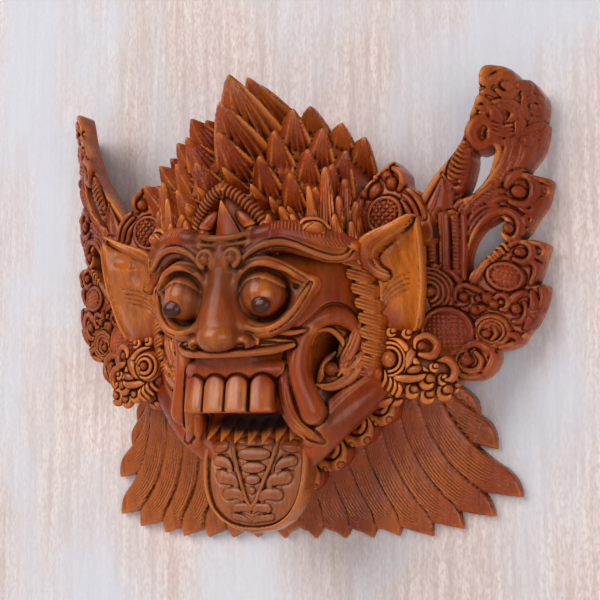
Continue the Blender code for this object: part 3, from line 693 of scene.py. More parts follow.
def draw_foot(plan):
    """The lower part of the wing: shells, curls and bosses down to the flower."""
    for reach in (10.2, 8.2, 6.2, 4.2):
        arc = [(77.4 + reach * math.cos(a), -2.6 + reach * math.sin(a)) for a in np.linspace(-1.3, 1.9, 10)]
        plan.strip(arc, (1.0, 1.1, 1.0), bulge=1.2, lift=(10.2 - reach) * 0.15)
    plan.dome(78.2, -2.4, 2.6, 3.0)
    plan.strip(((84.4, 7.4), (87.8, 5.6), (90.4, 1.6), (90.2, -3)), (0.9, 1.4, 1.3, 0.9), bulge=1.2)
    plan.strip(((88.3, -6), (89.2, -1.5), (92.3, 0.3), (95.6, -1), (98.6, -2.7), (100.4, -5)),
               (1.0, 1.3, 1.3, 0.8), bulge=1.3)
    plan.dome(91.9, -5, 1.9, 2.9)
    plan.strip(((95.3, -5.6), (95.6, -8.4), (93.4, -10.4), (90.8, -10.6)), (1.0, 1.3, 0.8))
    for x, z, radius in ((101.3, -5.6, 2.5), (96.6, -10.8, 2.4), (104, -8.3, 2.0), (99.2, -9.9, 1.7),
                         (98, -5.8, 1.5)):
        plan.dome(x, z, radius, radius * 1.25)
    plan.strip(((104.6, -5.4), (107.4, -4.1), (109.7, -6.4), (109, -10.1), (106.6, -10.5)),
               (1.0, 1.6, 1.5, 0.8), bulge=1.15)
    plan.dome(107, -7.4, 1.1, 1.7)
    plan.strip(((110.9, -9), (112.2, -5.2), (115.4, -3.4), (118.2, -4.6)), (1.2, 1.7, 1.6, 0.8), bulge=1.15)
    plan.dome(112.9, -10.4, (2.1, 2.4), 3.0)
    plan.strip(((116, -7.7), (117.1, -11.4), (115.2, -15.4), (111.4, -16)), (1.1, 1.6, 1.5, 0.8), bulge=1.15)
    plan.strip(((119.2, -2.8), (120.2, -8.6), (119, -14.6), (116.1, -18.6)), (1.1, 2.3, 2.3, 1.0), bulge=0.9)
    plan.strip(((122.9, -1.4), (123.1, -6.3), (122.2, -10)), (1.3, 1.2, 0.7))
    plan.strip(curl(120.9, -13, 2.0, 160, 0.8, -1, 0.5), (0.9, 1.1, 0.8), lift=1.0)
    # Ring boss, hatched disc, spiral
    for radius, half, lift in ((6.6, 1.2, 0.6), (4.7, 0.8, 1.2)):
        ring = [(102.7 + radius * math.cos(a), -20.2 + radius * 0.97 * math.sin(a)) for a in rings_of(20)]
        plan.strip(ring + ring[:1], (half,), bulge=1.3, lift=lift)
    plan.dome(102.7, -20.2, 4.2, 1.4)
    plan.strip(((103.4, -18.4), (104.6, -21.4), (102.6, -23.8)), (0.7, 1.2, 0.7), lift=1.2)
    plan.dome(100.6, -21.4, (2.1, 1.7), 3.4)
    plan.disc(84.4, -20.3, (11.4, 10.8), 4.6, cell=2.0, depth=0.7)
    plan.strip(((116.4, -21.9), (111.9, -26.1), (106, -27.5)), (1.2, 1.9, 1.3))
    plan.strip(((109.6, -21.6), (112.4, -22.6), (113.6, -25)), (0.9, 1.6, 0.8), lift=0.8)
    for turn in (0, 1):
        plan.strip(curl(93.4, -33.8, 7.4 - 2.6 * turn, 60, 0.85, -1, 0.75), (1.0, 1.4, 1.1), bulge=1.2,
                   lift=turn)
    plan.dome(91.6, -33, 2.6, 3.4)
    plan.strip(((92, -26.8), (96.6, -25.6), (101, -28.4), (102.4, -32)), (1.2, 2.0, 2.1, 1.0))
    plan.strip(((102.8, -30.4), (102, -35), (98.4, -38.8)), (1.2, 2.2, 1.2))
    plan.strip(((96.8, -40), (92.6, -40.8), (88.8, -39.2)), (1.2, 1.7, 1.2))
    plan.strip(curl(80.6, -36.4, 4.4, 30, 1.0, 1, 0.4), (1.2, 1.6, 1.1), bulge=1.2)


def carve_wing(pitch):
    """One wing, to the right of the middle."""
    block = Block((53, -60, -47), (129.5, 1, 99), pitch, halved=False)
    plan = Plan(block, (53, -47), (129.5, 99))
    plan.outline(WING_OUTLINE)
    plan.outline(UPPER_OPENING, hole=True)
    plan.outline(LOWER_OPENING, hole=True)
    draw_horn(plan)
    draw_middle(plan)
    draw_foot(plan)
    depth = wing_depth(plan.x, plan.z)
    thick = np.interp(plan.z, (-20, 10, 40, 60), (10.2, 10.6, 12.5, 14.5)) + 0 * plan.x
    block.relief(plan, depth + 1.0, depth + thick)
    return block


# Face

RUFF_LOBES = 10
TOOTH_HEIGHT = 8.2
TOOTH_DEPTH = 5.2
TOOTH_LEAN = 0.13
EYE_CENTRE = (19.6, -78.3, -5.6)
EYE_RADIUS = 9.7
PUPIL = (22.3, -87.6, -11.0)
PUPIL_RADII = (4.9, 3.6, 3.7)
FACE_TONES = (
    ("golden", (0, -92, -24), (9, 7, 6), 0.55, 0.5),
    # Darker on the nose bridge, forehead and jaws.
    ("stain_and_shade", (0, -80, -3), (12, 9, 12), 0.35, 0.5),
    ("stain_and_shade", (0, -70, 17), (64, 26, 12), 0.22, 0.4),
    ("stain_and_shade", (46, -36, -56), (26, 18, 16), 0.2, 0.4),
    ("stain_and_shade", (-46, -36, -56), (26, 18, 16), 0.2, 0.4),
    ("golden", (20, -87, -6), (8, 5, 8), 0.45, 0.4),
    ("golden", (-20, -87, -6), (8, 5, 8), 0.45, 0.4),
    ("golden", (0, -82, -50), (24, 12, 8), 0.5, 0.3),
    ("ashen", (0, -82, -50), (24, 12, 8), 0.35, 0.3),
    ("golden", (40, -66, 8), (16, 14, 12), 0.25, 0.5),
    ("golden", (-40, -66, 8), (16, 14, 12), 0.25, 0.5),
    # Painted shade in the eye sockets.
    ("stain_and_shade", (21, -76, -7), (17, 5, 16), 0.3, 0.35),
    ("stain_and_shade", (-21, -76, -7), (17, 5, 16), 0.3, 0.35),
    # Painted shade in the nostrils.
    ("stain_and_shade", (11.2, -86, -28.4), (3, 4, 2), 0.7, 0.4),
    ("stain_and_shade", (-11.2, -86, -28.4), (3, 4, 2), 0.7, 0.4),
    # Painted shade in the open mouth.
    ("stain_and_shade", (0, -44, -60), (23, 21, 5.4), 0.97, 0.2),
    # Painted shade in the holes inside the curls at the mouth corners.
    ("stain_and_shade", (37, -40, -30), (6, 12, 9), 0.9, 0.25),
    ("stain_and_shade", (-37, -40, -30), (6, 12, 9), 0.9, 0.25),
    ("golden", (30, -58, -62), (7, 6, 8), 0.35, 0.4),
)


def rough_head(block):
    """Skull, crown, muzzle and jaw."""
    block.ball((0, -18, -2), SKULL_RADII)
    block.ball((0, -22, 34), (51, 47, 46), soft=4)
    block.ball((0, -20, -52), (44, 30, 32), soft=4)
    block.ball((0, -32.5, -69), (25, 10.5, 11), soft=3)
    block.ball((0, -46, -38), (25, 27, 12), soft=3)
    block.ball((0, -57, -33), (24, 22, 9), soft=3)
    block.ball((0, -54, -49), (20, 19, 8), soft=2)
    block.ball((36, -10, -60), (16, 7, 14), soft=3)
    block.ball((50, -28, 30), (13, 15, 18), soft=3)
    block.ball((21, -62, -5), (16, 18, 17), soft=6)
    block.ball((0, -60, -66.4), (21, 30, 7.4), away=True, soft=1)


def carve_nose(block):
    """Bridge, tip, wings and nostrils."""
    block.strand([(0, -71, 14, 6.5), (0, -72.5, 4, 8.5), (0, -73, -6, 10.5), (0, -73, -15, 13),
                  (0, -72, -21, 14)], soft=6)
    block.strand([(0, -75, 18, 4.2), (0, -79.4, 8, 4.0), (0, -81.6, -2, 4.6), (0, -83, -12, 6.6),
                  (0, -82, -20, 9.4)], flat=0.85, soft=5)
    block.ball((0, -82.6, -24.2), (10.2, 9.8, 6.8), soft=2)
    block.ball((11.8, -80.2, -26.0), (4.6, 5.4, 3.8), soft=0.6)
    block.ball((11.0, -86.0, -28.0), (2.6, 4.2, 1.8), away=True, soft=0.4)
    block.strand([(13.8, -82, -22.8, 0.6), (16.8, -79.4, -25, 0.8), (16.2, -79, -28.6, 0.5)], soft=0.4)
    block.strand([(13.5, -79.4, -19.4, 0.7), (21, -76, -20.9, 1.3), (28.5, -69.5, -21.8, 1.2),
                  (34, -62, -19.6, 0.6)], soft=0.4, moat=0.7)
    block.strand([(16, -76.5, -24.2, 0.7), (23, -71, -25.2, 1.2), (28.5, -65.5, -25.6, 0.6)], soft=0.4,
                 moat=0.7)


def tooth(block, centre, half, turn):
    """A broad tooth with an arched top and a slightly crowned face, swung about the vertical."""
    cos_s, sin_s = math.cos(math.radians(turn)), math.sin(math.radians(turn))

    def far_of(x, y, z):
        u, v, w = x - centre[0], y - centre[1], z - centre[2]
        u, v = u * cos_s + v * sin_s, v * cos_s - u * sin_s
        arch = TOOTH_HEIGHT - half
        side = np.where(w > arch, np.hypot(u, w - arch), np.abs(u) + 0 * w) - half
        ends = larger(side, -w - TOOTH_HEIGHT, 1.2)
        return larger(ends, np.abs(v - TOOTH_LEAN * w) + 0.035 * u * u - TOOTH_DEPTH, 1.5)

    low, high = [c - TOOTH_HEIGHT for c in centre], [c + TOOTH_HEIGHT for c in centre]
    block.form(low, high, far_of, moat=0.9)


def carve_mouth(block):
    """Lip, gum, teeth and fangs."""
    block.strand([(0, -73.4, -37.6, 4.8), (12, -71.8, -37.6, 4.8), (21, -67.4, -37.2, 4.2)], soft=1)
    block.strand([(0, -84.2, -28.6, 0.7), (12, -80.4, -28.0, 0.7), (22, -73.6, -27.0, 0.6)], soft=0.4,
                 moat=0.5)
    block.strand([(0, -84.4, -31.4, 1.7), (13, -80.8, -30.8, 1.7), (22, -74.6, -29.6, 1.6),
                  (28.5, -68, -27, 1.1)], soft=0.3, moat=0.8)
    for x, y, half, turn in ((5.3, -74.2, 5.3, 3), (15.9, -72.0, 5.2, 13)):
        tooth(block, (x, y, -48.2), half, turn)
    for i in range(4):
        block.cone((7.0 * i, -45, -57), (7.0 * i, -56.2, -70.8 + 0.7 * i), 5.6, sides=4, bulge=0.8, flat=0.6)
    block.strand([(23.2, -65.4, -38, 2.8), (23.4, -66.4, -46, 2.9), (24.8, -64.8, -54, 2.9),
                  (27.2, -60.4, -61, 2.6), (31, -54.6, -66, 2.0), (34.5, -50.5, -68.4, 1.0)], moat=0.9)
    block.strand([(22.6, -62, -57, 2.4), (24.6, -57.6, -63, 2.0), (28, -53, -67.6, 1.0)], soft=0.5)
    block.front()
    block.groove([(22.6, -42), (23.0, -50), (25.0, -58), (29.4, -64.6)], (0.25, 0.5, 0.5, 0.3))
    block.groove([(25.2, -45), (26.4, -54), (28.8, -60.6), (32.4, -65.8)], (0.25, 0.5, 0.5, 0.3))


def carve_cheek(block):
    """The horn-like curl at the corner of the mouth, the leaf inside it and the jaw."""
    block.strand([(60, -28, -40, 5), (53, -34, -45, 7.5), (43, -41, -54, 8.5), (33, -45, -64, 8.5),
                  (25, -43, -73, 6.6), (17, -39, -80, 5)], soft=1.5)
    block.strand([(54, -40, -38.5, 1.2), (45, -46.5, -46, 1.8), (37, -51, -54, 2.4), (33, -53, -61, 2.6),
                  (28, -53, -69, 2.0)], soft=1.5)
    block.ball((37, -50, -29), (6.6, 18, 8.6), away=True, soft=1)
    block.ball((33.6, -46, -38), (4.4, 17, 8.4), away=True, soft=1)
    block.ball((50, -34, -33), (9, 10, 15), tilt=20, soft=1)
    block.ball((49, -56, -30), (6.5, 11.4, 15), tilt=20, away=True, soft=1)
    leaf = [(33, -47, -42.5, 3.0), (40, -44.6, -38, 6.8), (45.6, -43, -30, 6.4), (48.6, -42, -20, 3.2)]
    block.strand(leaf, flat=0.5, soft=1)
    block.strand([(31.8, -57.5, -55, 6.8), (29.8, -60.5, -47.5, 6.1), (27.8, -63, -38, 5.3),
                  (29, -62.2, -26, 4.9), (33.4, -59, -16.8, 4.8), (39.8, -53.8, -13.2, 4.7),
                  (45, -48.8, -14.8, 4.0), (47.4, -45.4, -18.6, 2.4), (46.6, -44.6, -23, 0.6)], moat=1.3)
    block.strand([(32.6, -58.6, -26, 0.8), (35, -58.2, -20.6, 1.1), (39.6, -53.6, -19.8, 1.3),
                  (43, -49.4, -24, 1.2), (43.2, -48, -27, 0.6)], moat=0.6)
    blades = (
        ((41.2, -39.4, 1.4), (43.6, -32.8, 3.0), (46.4, -27, 3.4), (48.4, -21, 2.7), (50, -12.8, 0.4)),
        ((42.8, -40.4, 1.4), (46.1, -36, 2.4), (49.1, -32, 2.2), (52.6, -28.2, 0.4)),
        ((31.6, -43.6, 0.8), (35.6, -44.8, 1.6), (40.2, -44.2, 2.4), (45.3, -40.9, 2.8), (48.6, -37.2, 2.2),
         (51.4, -32.8, 0.4)),
    )
    for blade in blades:
        block.strand([(x, leaf_depth(x), z, half) for x, z, half in blade], flat=0.6, moat=0.5)
    for blade in blades:
        for lean in (-0.9, 0.9):
            block.strand([(x + lean, leaf_depth(x) - 0.6 * half, z, 0.6) for x, z, half in blade[1:-1]],
                         away=True)
    for i in range(5):
        angle = math.radians(20 - 22 * i)
        along, rise = math.cos(angle), math.sin(angle)
        block.strand([(x, leaf_depth(x) - 1.7, z, 0.6) for x, z in
                      ((38 + reach * along, -36.4 + reach * rise) for reach in (5.2, 8.4))], away=True)
    block.strand([(39.6, -48.6, -29.4, 0.8), (36.4, -50, -33, 1.6), (33.8, -50, -38, 1.7),
                  (32.2, -49.4, -42.5, 1.2)], soft=0.3, moat=0.5)
    block.ball((37.6, -48.2, -36.6), (3.3, 3.4, 3.3), moat=0.6)
    block.strand([(39.8, -47.2, -31.4, 0.7), (42, -46.4, -26.6, 1.5), (44.4, -45, -23.8, 1.5),
                  (45, -44.4, -26, 0.6)], moat=0.5)


def leaf_depth(x):
    """How far back the leaf in the cheek lies: it slants away from the mouth."""
    return -49.4 + 0.35 * (x - 36.6)


def carve_eye(block):
    """Socket, eyeball, lids and brow."""
    x, y, z = EYE_CENTRE
    block.ball((x, y - 1.5, z), (13.4, 8.2, 14.0), away=True, soft=1.5)
    block.ball((34.4, -74.5, -1.2), (3.8, 4.2, 2.4), away=True, soft=0.8)
    block.ball(EYE_CENTRE, EYE_RADIUS, moat=0.8)

    def lid(px, py, pz):
        away = np.sqrt((px - x) ** 2 + (py - y) ** 2 + (pz - z) ** 2) - EYE_RADIUS - 0.7
        edge = z + 6.4 - 0.045 * (px - x - 0.5) ** 2 - pz
        return larger(away, edge + 0 * away, 0.3)

    size = EYE_RADIUS + 1
    block.form((x - size, y - size, z - size), (x + size, y + size, z + size), lid)
    ring = [(7.2, -81.0, -13, 1.2), (7.0, -81.2, -7, 1.2), (7.8, -81.8, -1, 1.2), (11, -83, 4.2, 1.4),
            (16, -84.2, 7.2, 1.5), (22, -84, 7.6, 1.6), (28, -81.6, 5.6, 1.5), (33, -77.4, 2.4, 1.3),
            (38.4, -71.5, -1.2, 0.7)]
    block.strand([(px, py + 3.4, pz - 0.2, 3.4) for px, py, pz, _ in ring], soft=2.5)
    block.strand(ring, moat=0.7)
    under = [(38.6, -71.5, -0.8, 0.7), (36, -75.4, -7.4, 1.1), (32.8, -78.4, -13.6, 1.2),
             (27.6, -81, -18.8, 1.3), (19.6, -82.2, -21.2, 1.3), (12.6, -81.8, -19.4, 1.3),
             (8.6, -81.2, -16, 1.2), (7.1, -81, -12.6, 1.2)]
    block.strand([(px, py + 3.6, pz, 3.4) for px, py, pz, _ in under], soft=2.5)
    block.strand(under, soft=0.3, moat=0.5)
    block.ball((x + 0.6, y - 5, z - 1.6), (12.0, 8.4, 13.0), away=True, soft=1.0)
    block.ball((28.6, -80.6, -4.6), (7.4, 6.4, 8.4), away=True, soft=1.5)
    block.ball(EYE_CENTRE, EYE_RADIUS)
    block.form((x - size, y - size, z - size), (x + size, y + size, z + size), lid)
    block.strand([(8.4, -77, 7.5, 3.0), (13.4, -78.0, 13, 3.8), (26, -75.4, 17, 4.2), (36, -70, 14.6, 3.8),
                  (44, -63, 12, 3.4), (52, -55, 12.4, 2.6)], soft=2)
    block.strand([(12, -84.5, 6.2, 1.4), (18, -85.5, 10.4, 2.2), (27, -83.5, 11.4, 2.8), (36, -77, 8.4, 2.8),
                  (44, -69.5, 6.2, 2.2), (50, -63, 6, 1.2)], soft=1.5, away=True)
    brow = [(9.6, -82.4, 7.2, 0.9), (12.4, -82.6, 10.8, 1.1), (16.8, -82, 14.0, 1.3), (22, -81.2, 16, 1.4),
            (28, -79.4, 16.6, 1.4), (33.6, -76.8, 15.2, 1.3), (37.6, -73.6, 13.3, 1.2),
            (41.6, -69.8, 11.4, 1.2), (46, -65.2, 10.3, 1.1), (50, -60.6, 11.4, 0.9), (52, -57.6, 15, 0.6)]
    block.strand(brow, moat=0.8)
    block.front()
    block.groove([(px - 0.2, pz - 2.6) for px, py, pz, _ in brow[2:10]], (0.2, 0.4, 0.45, 0.4, 0.2))
    turns = np.linspace(-1.2, 3.9, 11)
    curl_path = [(6.7 + 3.6 * math.cos(a), -84.0, 10.4 + 3.6 * math.sin(a), 1.1) for a in turns]
    block.ball((6.6, -79.8, 10.2), (5, 4, 5), soft=1)
    block.strand(curl_path, steps=2, moat=0.7)
    block.ball((6.7, -84.2, 10.3), (2.2, 2.2, 2.2))
    block.ball((0, -79.6, 12.5), (3.2, 4.4, 5.6), soft=1.5)


def carve_forehead(block):
    """The combed fringe over the brows."""
    block.strand([(12, -77, 19.6, 2.4), (18, -77.4, 21, 3.8), (28, -73.6, 22, 4.8), (40, -65, 19.6, 4.6),
                  (51, -54.6, 17, 3.2)], soft=1.2)
    block.strand([(0, -81.6, 19.6, 1.5), (6, -81, 19.9, 1.5), (12, -78.6, 21.6, 1.1)], soft=0.3, moat=0.6)
    block.strand([(0, -81.6, 16.2, 1.3), (6, -80.6, 16.6, 1.2), (12.4, -79, 18, 0.8)], soft=0.3, moat=0.6)


def carve_fringe(pitch):
    """The fine comb that is cut across the fringe over the right brow."""
    block = Block((9, -86, 8), (58, -44, 33), pitch, halved=False)
    block.strand([(12, -76.8, 19.6, 2.6), (18, -77, 21, 4.2), (28, -73.4, 22, 5.2), (40, -65, 19.6, 5.0),
                  (51, -54.6, 17, 3.4)])
    for x, y, z in ((19, -78, 27.2), (30.6, -74.2, 29.4), (46.4, -62, 25.6)):
        block.cone((x, y + 5, z - 8), (x + 0.6, y, z), 5.2, flutes=8, notch=0.3, bulge=0.8, flat=0.6, soft=1)
    block.front()
    for i in range(29):
        x = 12.4 + 1.38 * i
        top = float(np.interp(x, (13, 20, 30, 42, 52), (21.6, 25.4, 26.6, 24.2, 20)))
        low = float(np.interp(x, (13, 20, 30, 42, 52), (17, 17.6, 18.2, 14.6, 14)))
        block.groove([(x - 0.9, top), (x + 0.1, (top + low) / 2), (x + 1.5, low)], (0.35, 0.46, 0.3),
                     soft=0.1, lift=0.1)
    return block


def carve_face(pitch):
    """The whole face between the ears."""
    block = Block((0, -96, -86), (64, 1, 47), pitch)
    rough_head(block)
    carve_cheek(block)
    carve_forehead(block)
    carve_eye(block)
    carve_nose(block)
    carve_mouth(block)
    block.mirrored()
    for side in (-1, 1):
        block.ball((side * PUPIL[0], PUPIL[1] - 2.0, PUPIL[2]), (5.1, 3.0, 4.0), away=True)
        block.ball((side * PUPIL[0], PUPIL[1] + 1.4, PUPIL[2]), (4.6, 2.4, 3.6))
    return block


def carve_ruff(pitch):
    """The ribbed scallops down the side of the right cheek."""
    block = Block((40, -62, -52), (68, -34, 18), pitch, halved=False)
    plan = Plan(block, (40, -53), (67, 17))
    plan.edge[:] = FAR
    heights, middles, depths = (-43.5, -37, -30, -15, 0, 13), (51.4, 54.6, 56.4, 56.2, 53.6, 49), (-43, -44,
                                                                                                   -46, -49,
                                                                                                   -52, -54)
    for i in range(RUFF_LOBES):
        z = -47.6 + 6.5 * i
        x = float(np.interp(z, heights, middles))
        plan.strip(((x - 2.4, z + 0.8), (x + 1.4, z - 0.4)), (3.5, 3.6), bulge=0.5, flutes=4, notch=0.7,
                   outlined=True, cut=0.8)
    middle = np.interp(plan.z, heights, middles) + 0 * plan.x
    depth = np.interp(plan.z, heights, depths) + 0.06 * np.clip(plan.x - middle + 8, 0, None) ** 2
    block.relief(plan, depth, depth + 8, soft=1.6)
    return block


RUFF_TONES = (("golden", (57, -48, -14), (6, 8, 34), 0.35, 0.3),)


# Ears

EAR_OUTLINE = ((79.6, 28.8), (81.2, 24.6), (81.7, 16), (81.4, 5), (79.4, -7.6), (76, -19.6), (67, -20.4),
               (60, -18), (58, -12), (57.6, -5), (58, 1), (56, 5), (51, 8.6), (50, 14), (53, 19.4),
               (60.7, 22.6), (70.5, 25.8), (78, 29.2), )
EAR_TONES = (
    ("golden", (71, -48, 5), (12, 16, 28), 0.75, 0.3),
    ("golden", (62, -50, 18), (12, 10, 7), 0.5, 0.3),
    ("golden", (67, -41, -34), (8, 6, 8), 0.4, 0.3),
    ("golden", (77, -36, -46), (12, 6, 6), 0.35, 0.3),
)


def carve_ear(pitch):
    """The ear to the right of the middle."""
    block = Block((44, -66, -24), (86, 1, 33), pitch, halved=False)
    block.strand([(52, -34, 14, 9), (57, -31, 0, 11), (62, -28, -14, 9)], flat=0.8)
    plan = Plan(block, (48, -23), (84, 31))
    plan.outline(EAR_OUTLINE)
    inner = np.interp(plan.z, (-20, -3, 13, 28), (59, 55, 50, 78)) + 0 * plan.x
    outer = np.interp(plan.z, (-20, -3, 13, 28), (76, 81, 81.7, 81.2)) + 0 * plan.x
    share = np.clip((plan.x - inner) / (outer - inner), 0, 1)
    first = np.interp(plan.z, (-20, -3, 13, 28), (-38, -43, -49, -56))
    last = np.interp(plan.z, (-20, -3, 13, 28), (-42, -48, -53, -57))
    depth = first + (last - first) * share + 4.5 * np.sin(np.pi * share)
    plan.pit(62, 12, (8, 10), 2.6)
    plan.pit(70, 17.6, (8, 4), 1.6)
    plan.strip(((80, 28.8), (70.5, 24.2), (61, 19.8), (55.4, 15.6), (53.8, 11), (56.4, 6.8), (61, 4.2),
                (63.6, 4.0)), (0.5, 2.2, 3.6, 3.9, 3.2, 2.6, 2.0, 0.6), bulge=0.62,
               lift=(0.8, 2.0, 2.6, 2.6, 2.2, 1.6, 1.0, 0.4))
    plan.strip(((79.8, 29), (70.5, 25.8), (60.7, 22.5), (53.8, 18), (51, 13), (52, 9)),
               (0.5, 0.9, 1.0, 0.9, 0.5), lift=(1, 2.6, 3.2, 3.0, 2.4))
    plan.strip(((78.6, 26.6), (70.5, 21.4), (63.6, 18.0), (59.4, 15.4), (57.8, 11.8), (59.4, 8.2), (63, 5.8)),
               (0.3, 0.55, 0.7, 0.6, 0.3), lift=(0.8, 1.6, 2.4, 2.4, 2.0, 1.4, 0.6))
    plan.strip(((81.2, 24), (81.3, 12), (80.4, 0), (77.6, -12), (75, -19)), (0.5, 0.7, 0.6), lift=0.1)
    for drop in (0.0, 2.2, 4.4, 6.6):
        plan.incise(((59, -3.6 - drop), (62.6, 0.6 - drop), (68.4, 3.6 - drop),
                     (74.6 - drop * 0.3, 4.4 - drop)), (0.5, 0.75, 0.6, 0.3), 0.9)
    block.relief(plan, depth, depth + 7.0, soft=1.0)
    return block


def carve_flower(pitch, side):
    """The flower with its pointed tail and curls. On the left its heart is a bigger, spiral boss."""
    block = Block((46, -54, -56), (94, 1, -16), pitch, halved=False)
    block.ball((68, -24, -36), (20, 13.5, 14))
    block.ball((66, -35.4, -34.5), (10, 5.4, 9), soft=1)
    block.strand([(62.4, -40.4, -23.6, 0.7), (67.6, -41, -25.6, 1.5), (72.2, -40.8, -30.8, 1.8),
                  (75.4, -39.6, -35.8, 1.4), (80, -36.4, -38.8, 0.5)], moat=0.6)
    block.strand([(80.4, -36, -39.2, 0.5), (74.4, -39.8, -41.2, 1.7), (67, -41, -41, 1.7),
                  (60.6, -40.6, -37.6, 1.0)], moat=0.6)
    block.ball((70.4, -40, -33.6), (3.3, 2.6, 6.6), tilt=30, moat=0.5)
    block.ball((73.6, -39.8, -37.6), (3.6, 2.2, 2.0), tilt=-16, moat=0.5)
    if side > 0:
        for reach, half in ((7.2, 0.9), (5.2, 0.9)):
            block.strand([(62.6 + reach * math.cos(a), -41.2, -32.8 + reach * math.sin(a), half)
                          for a in np.linspace(-1.6, 1.7, 8)], steps=3, moat=0.6)
        block.ball((62.6, -41.4, -32.8), (3.5, 3.4, 3.7), moat=0.7)
    else:
        block.ball((61, -41, -33), (7.6, 6.4, 7.4), moat=0.8)
        for reach, half in ((5.6, 0.8), (3.4, 0.9)):
            block.strand([(61 + reach * math.cos(a), -47.6 + 0.16 * reach**1.5, -33 + reach * math.sin(a),
                           half) for a in np.linspace(0.4, 5.2, 12)], steps=3, moat=0.6)
        block.ball((61, -46.6, -33), (1.9, 2.4, 1.9), moat=0.5)
    block.ball((56.8, -38.8, -39), (2.9, 3.6, 3.4), moat=0.6)
    for x, z, size in ((59.6, -41.2, 3.4), (62, -43.2, 3.3), (64.2, -44.9, 3.2), (66.2, -46.3, 3.0)):
        block.strand([(x + 0.6, -40.4, z + size, 0.7), (x + 1.1, -40.6, z, 1.05),
                      (x - 1.2, -39, z - size * 0.9, 0.7)], moat=0.4)
    for x, y, z, size in ((54.5, -35, -45.4, 3.2), (62.6, -33, -48.6, 3.6), (71.8, -36.4, -46.4, 3.0),
                          (78.2, -34, -48.6, 3.1), (85.2, -31.6, -47, 3.4), (78.8, -36.2, -42.2, 3.2),
                          (81.8, -36, -36.4, 1.9), (84.6, -32.6, -41.6, 2.2), (88.4, -28, -44.6, 2.4),
                          (63.4, -39.6, -20.6, 2.0), (70.4, -38.8, -21.6, 2.1)):
        block.ball((x + size * 0.25, y, z + size * 0.25), size * 0.72, moat=0.4)
        arc = [(x + 0.9 * size * math.cos(a), y - size * 0.25, z + 0.9 * size * math.sin(a), half * size)
               for a, half in zip(np.linspace(2.0, 5.6, 8), (0.2, 0.36, 0.46, 0.5, 0.5, 0.46, 0.36, 0.2))]
        block.strand(arc, steps=3, moat=0.3)
    block.strand([(74.6, -40.4, -27.8, 1.0), (75.2, -40.2, -24.4, 1.4), (79, -37.6, -22.8, 1.6),
                  (82.6, -35.2, -26.6, 1.8), (81.2, -36.8, -31.4, 1.9), (76.4, -39.8, -31, 1.1)], moat=0.6)
    block.ball((76.8, -39, -27.2), (2.0, 2.4, 2.0), moat=0.5)
    block.strand([(82.6, -34.4, -33.4, 1.0), (86.4, -33, -33.2, 1.6), (89.2, -30.6, -37, 1.8),
                  (88, -31, -41.4, 1.6), (85.6, -32.6, -42, 0.9)], moat=0.6)
    block.strand([(55, -38.4, -46.4, 0.8), (53.6, -37.6, -49.6, 1.6), (57.4, -36, -52, 2.0),
                  (61, -36, -50.4, 0.9)], moat=0.6)
    return block


# Crest

CREST_TONES = (
    ("golden", (0, -62, 86), (16, 20, 20), 0.25, 0.5),
)
MIDDLE_SPIKES = (
    (24, 0.1, 1.0, (1.6, -50, 96.2)), (23, 0.1, 1.0, (1.8, -62, 96.4)), (22, 0.62, 1.0, (0.6, -77, 94.4)),
    (20, 0.62, 0.85, (1.0, -86, 80)), (17, 0.62, 0.75, (1.2, -87.5, 66)), (9, 0.62, 0.45, (2.8, -86.5, 50.6)),
)
SIDE_SPIKES = ((24, 0.1, 1.0, (24.1, -42, 85.2), (38.3, -38, 76.7), (48.6, -35, 69.7), (61, -30, 52),
                (-31.5, -42, 84.3), (-45, -38, 77), (-55.1, -35, 69.1), (-64.5, -33, 56.5)),
               (21, 0.62, 1.0, (24.9, -61, 79.8), (37, -55, 71), (46.3, -50, 60.9), (-28.2, -61, 80.7),
                (-39.3, -55, 71.5), (-52, -50, 62.4), (-62.7, -47, 54.1)),
               (19, 0.62, 0.95, (19.9, -70, 68.5), (33.3, -63, 60.4), (42.2, -56, 54.2), (-25.5, -70, 69.9),
                (-35.3, -63, 59.7), (-48.8, -56, 50.8)), (17, 0.62, 0.85, (17.2, -79, 55.8),
                                                          (29, -72.5, 48.5), (38, -65, 42.6),
                                                          (-15.2, -79, 55.7), (-29.3, -72, 45.2),
                                                          (-42, -63, 42), (-21.5, -76, 38)),
               (8, 0.62, 0.45, (14.8, -83, 42.8), (22.2, -79, 37.3), (28.6, -74, 33.6), (-12, -83, 43.5),
                (-20, -79.5, 36.5)), )
SIDE_LEAF_OUTLINE = ((65, 55.6), (61.4, 52.6), (58, 50.4), (55, 47.4), (51.4, 43.4), (48.4, 40),
                     (46.8, 34.3), (46.6, 26), (47, 18), (82, 18), (82, 30), (79, 36), (77, 41.4),
                     (73.4, 42.6), (71.6, 45), (71, 49.6), (68.4, 52.6), (66.4, 54.8), )


def carve_spike(block, width, back, lean, tip):
    """A stout, fluted spike whose root is sunk in the crown, below and behind its tip."""
    x, y, z = tip
    root = (x * (1 - 0.42 * lean), y * back, z - 30 * lean)
    block.cone(root, tip, width, sides=4, flutes=16, notch=0.34, bulge=0.74, flat=0.92, moat=0.6)


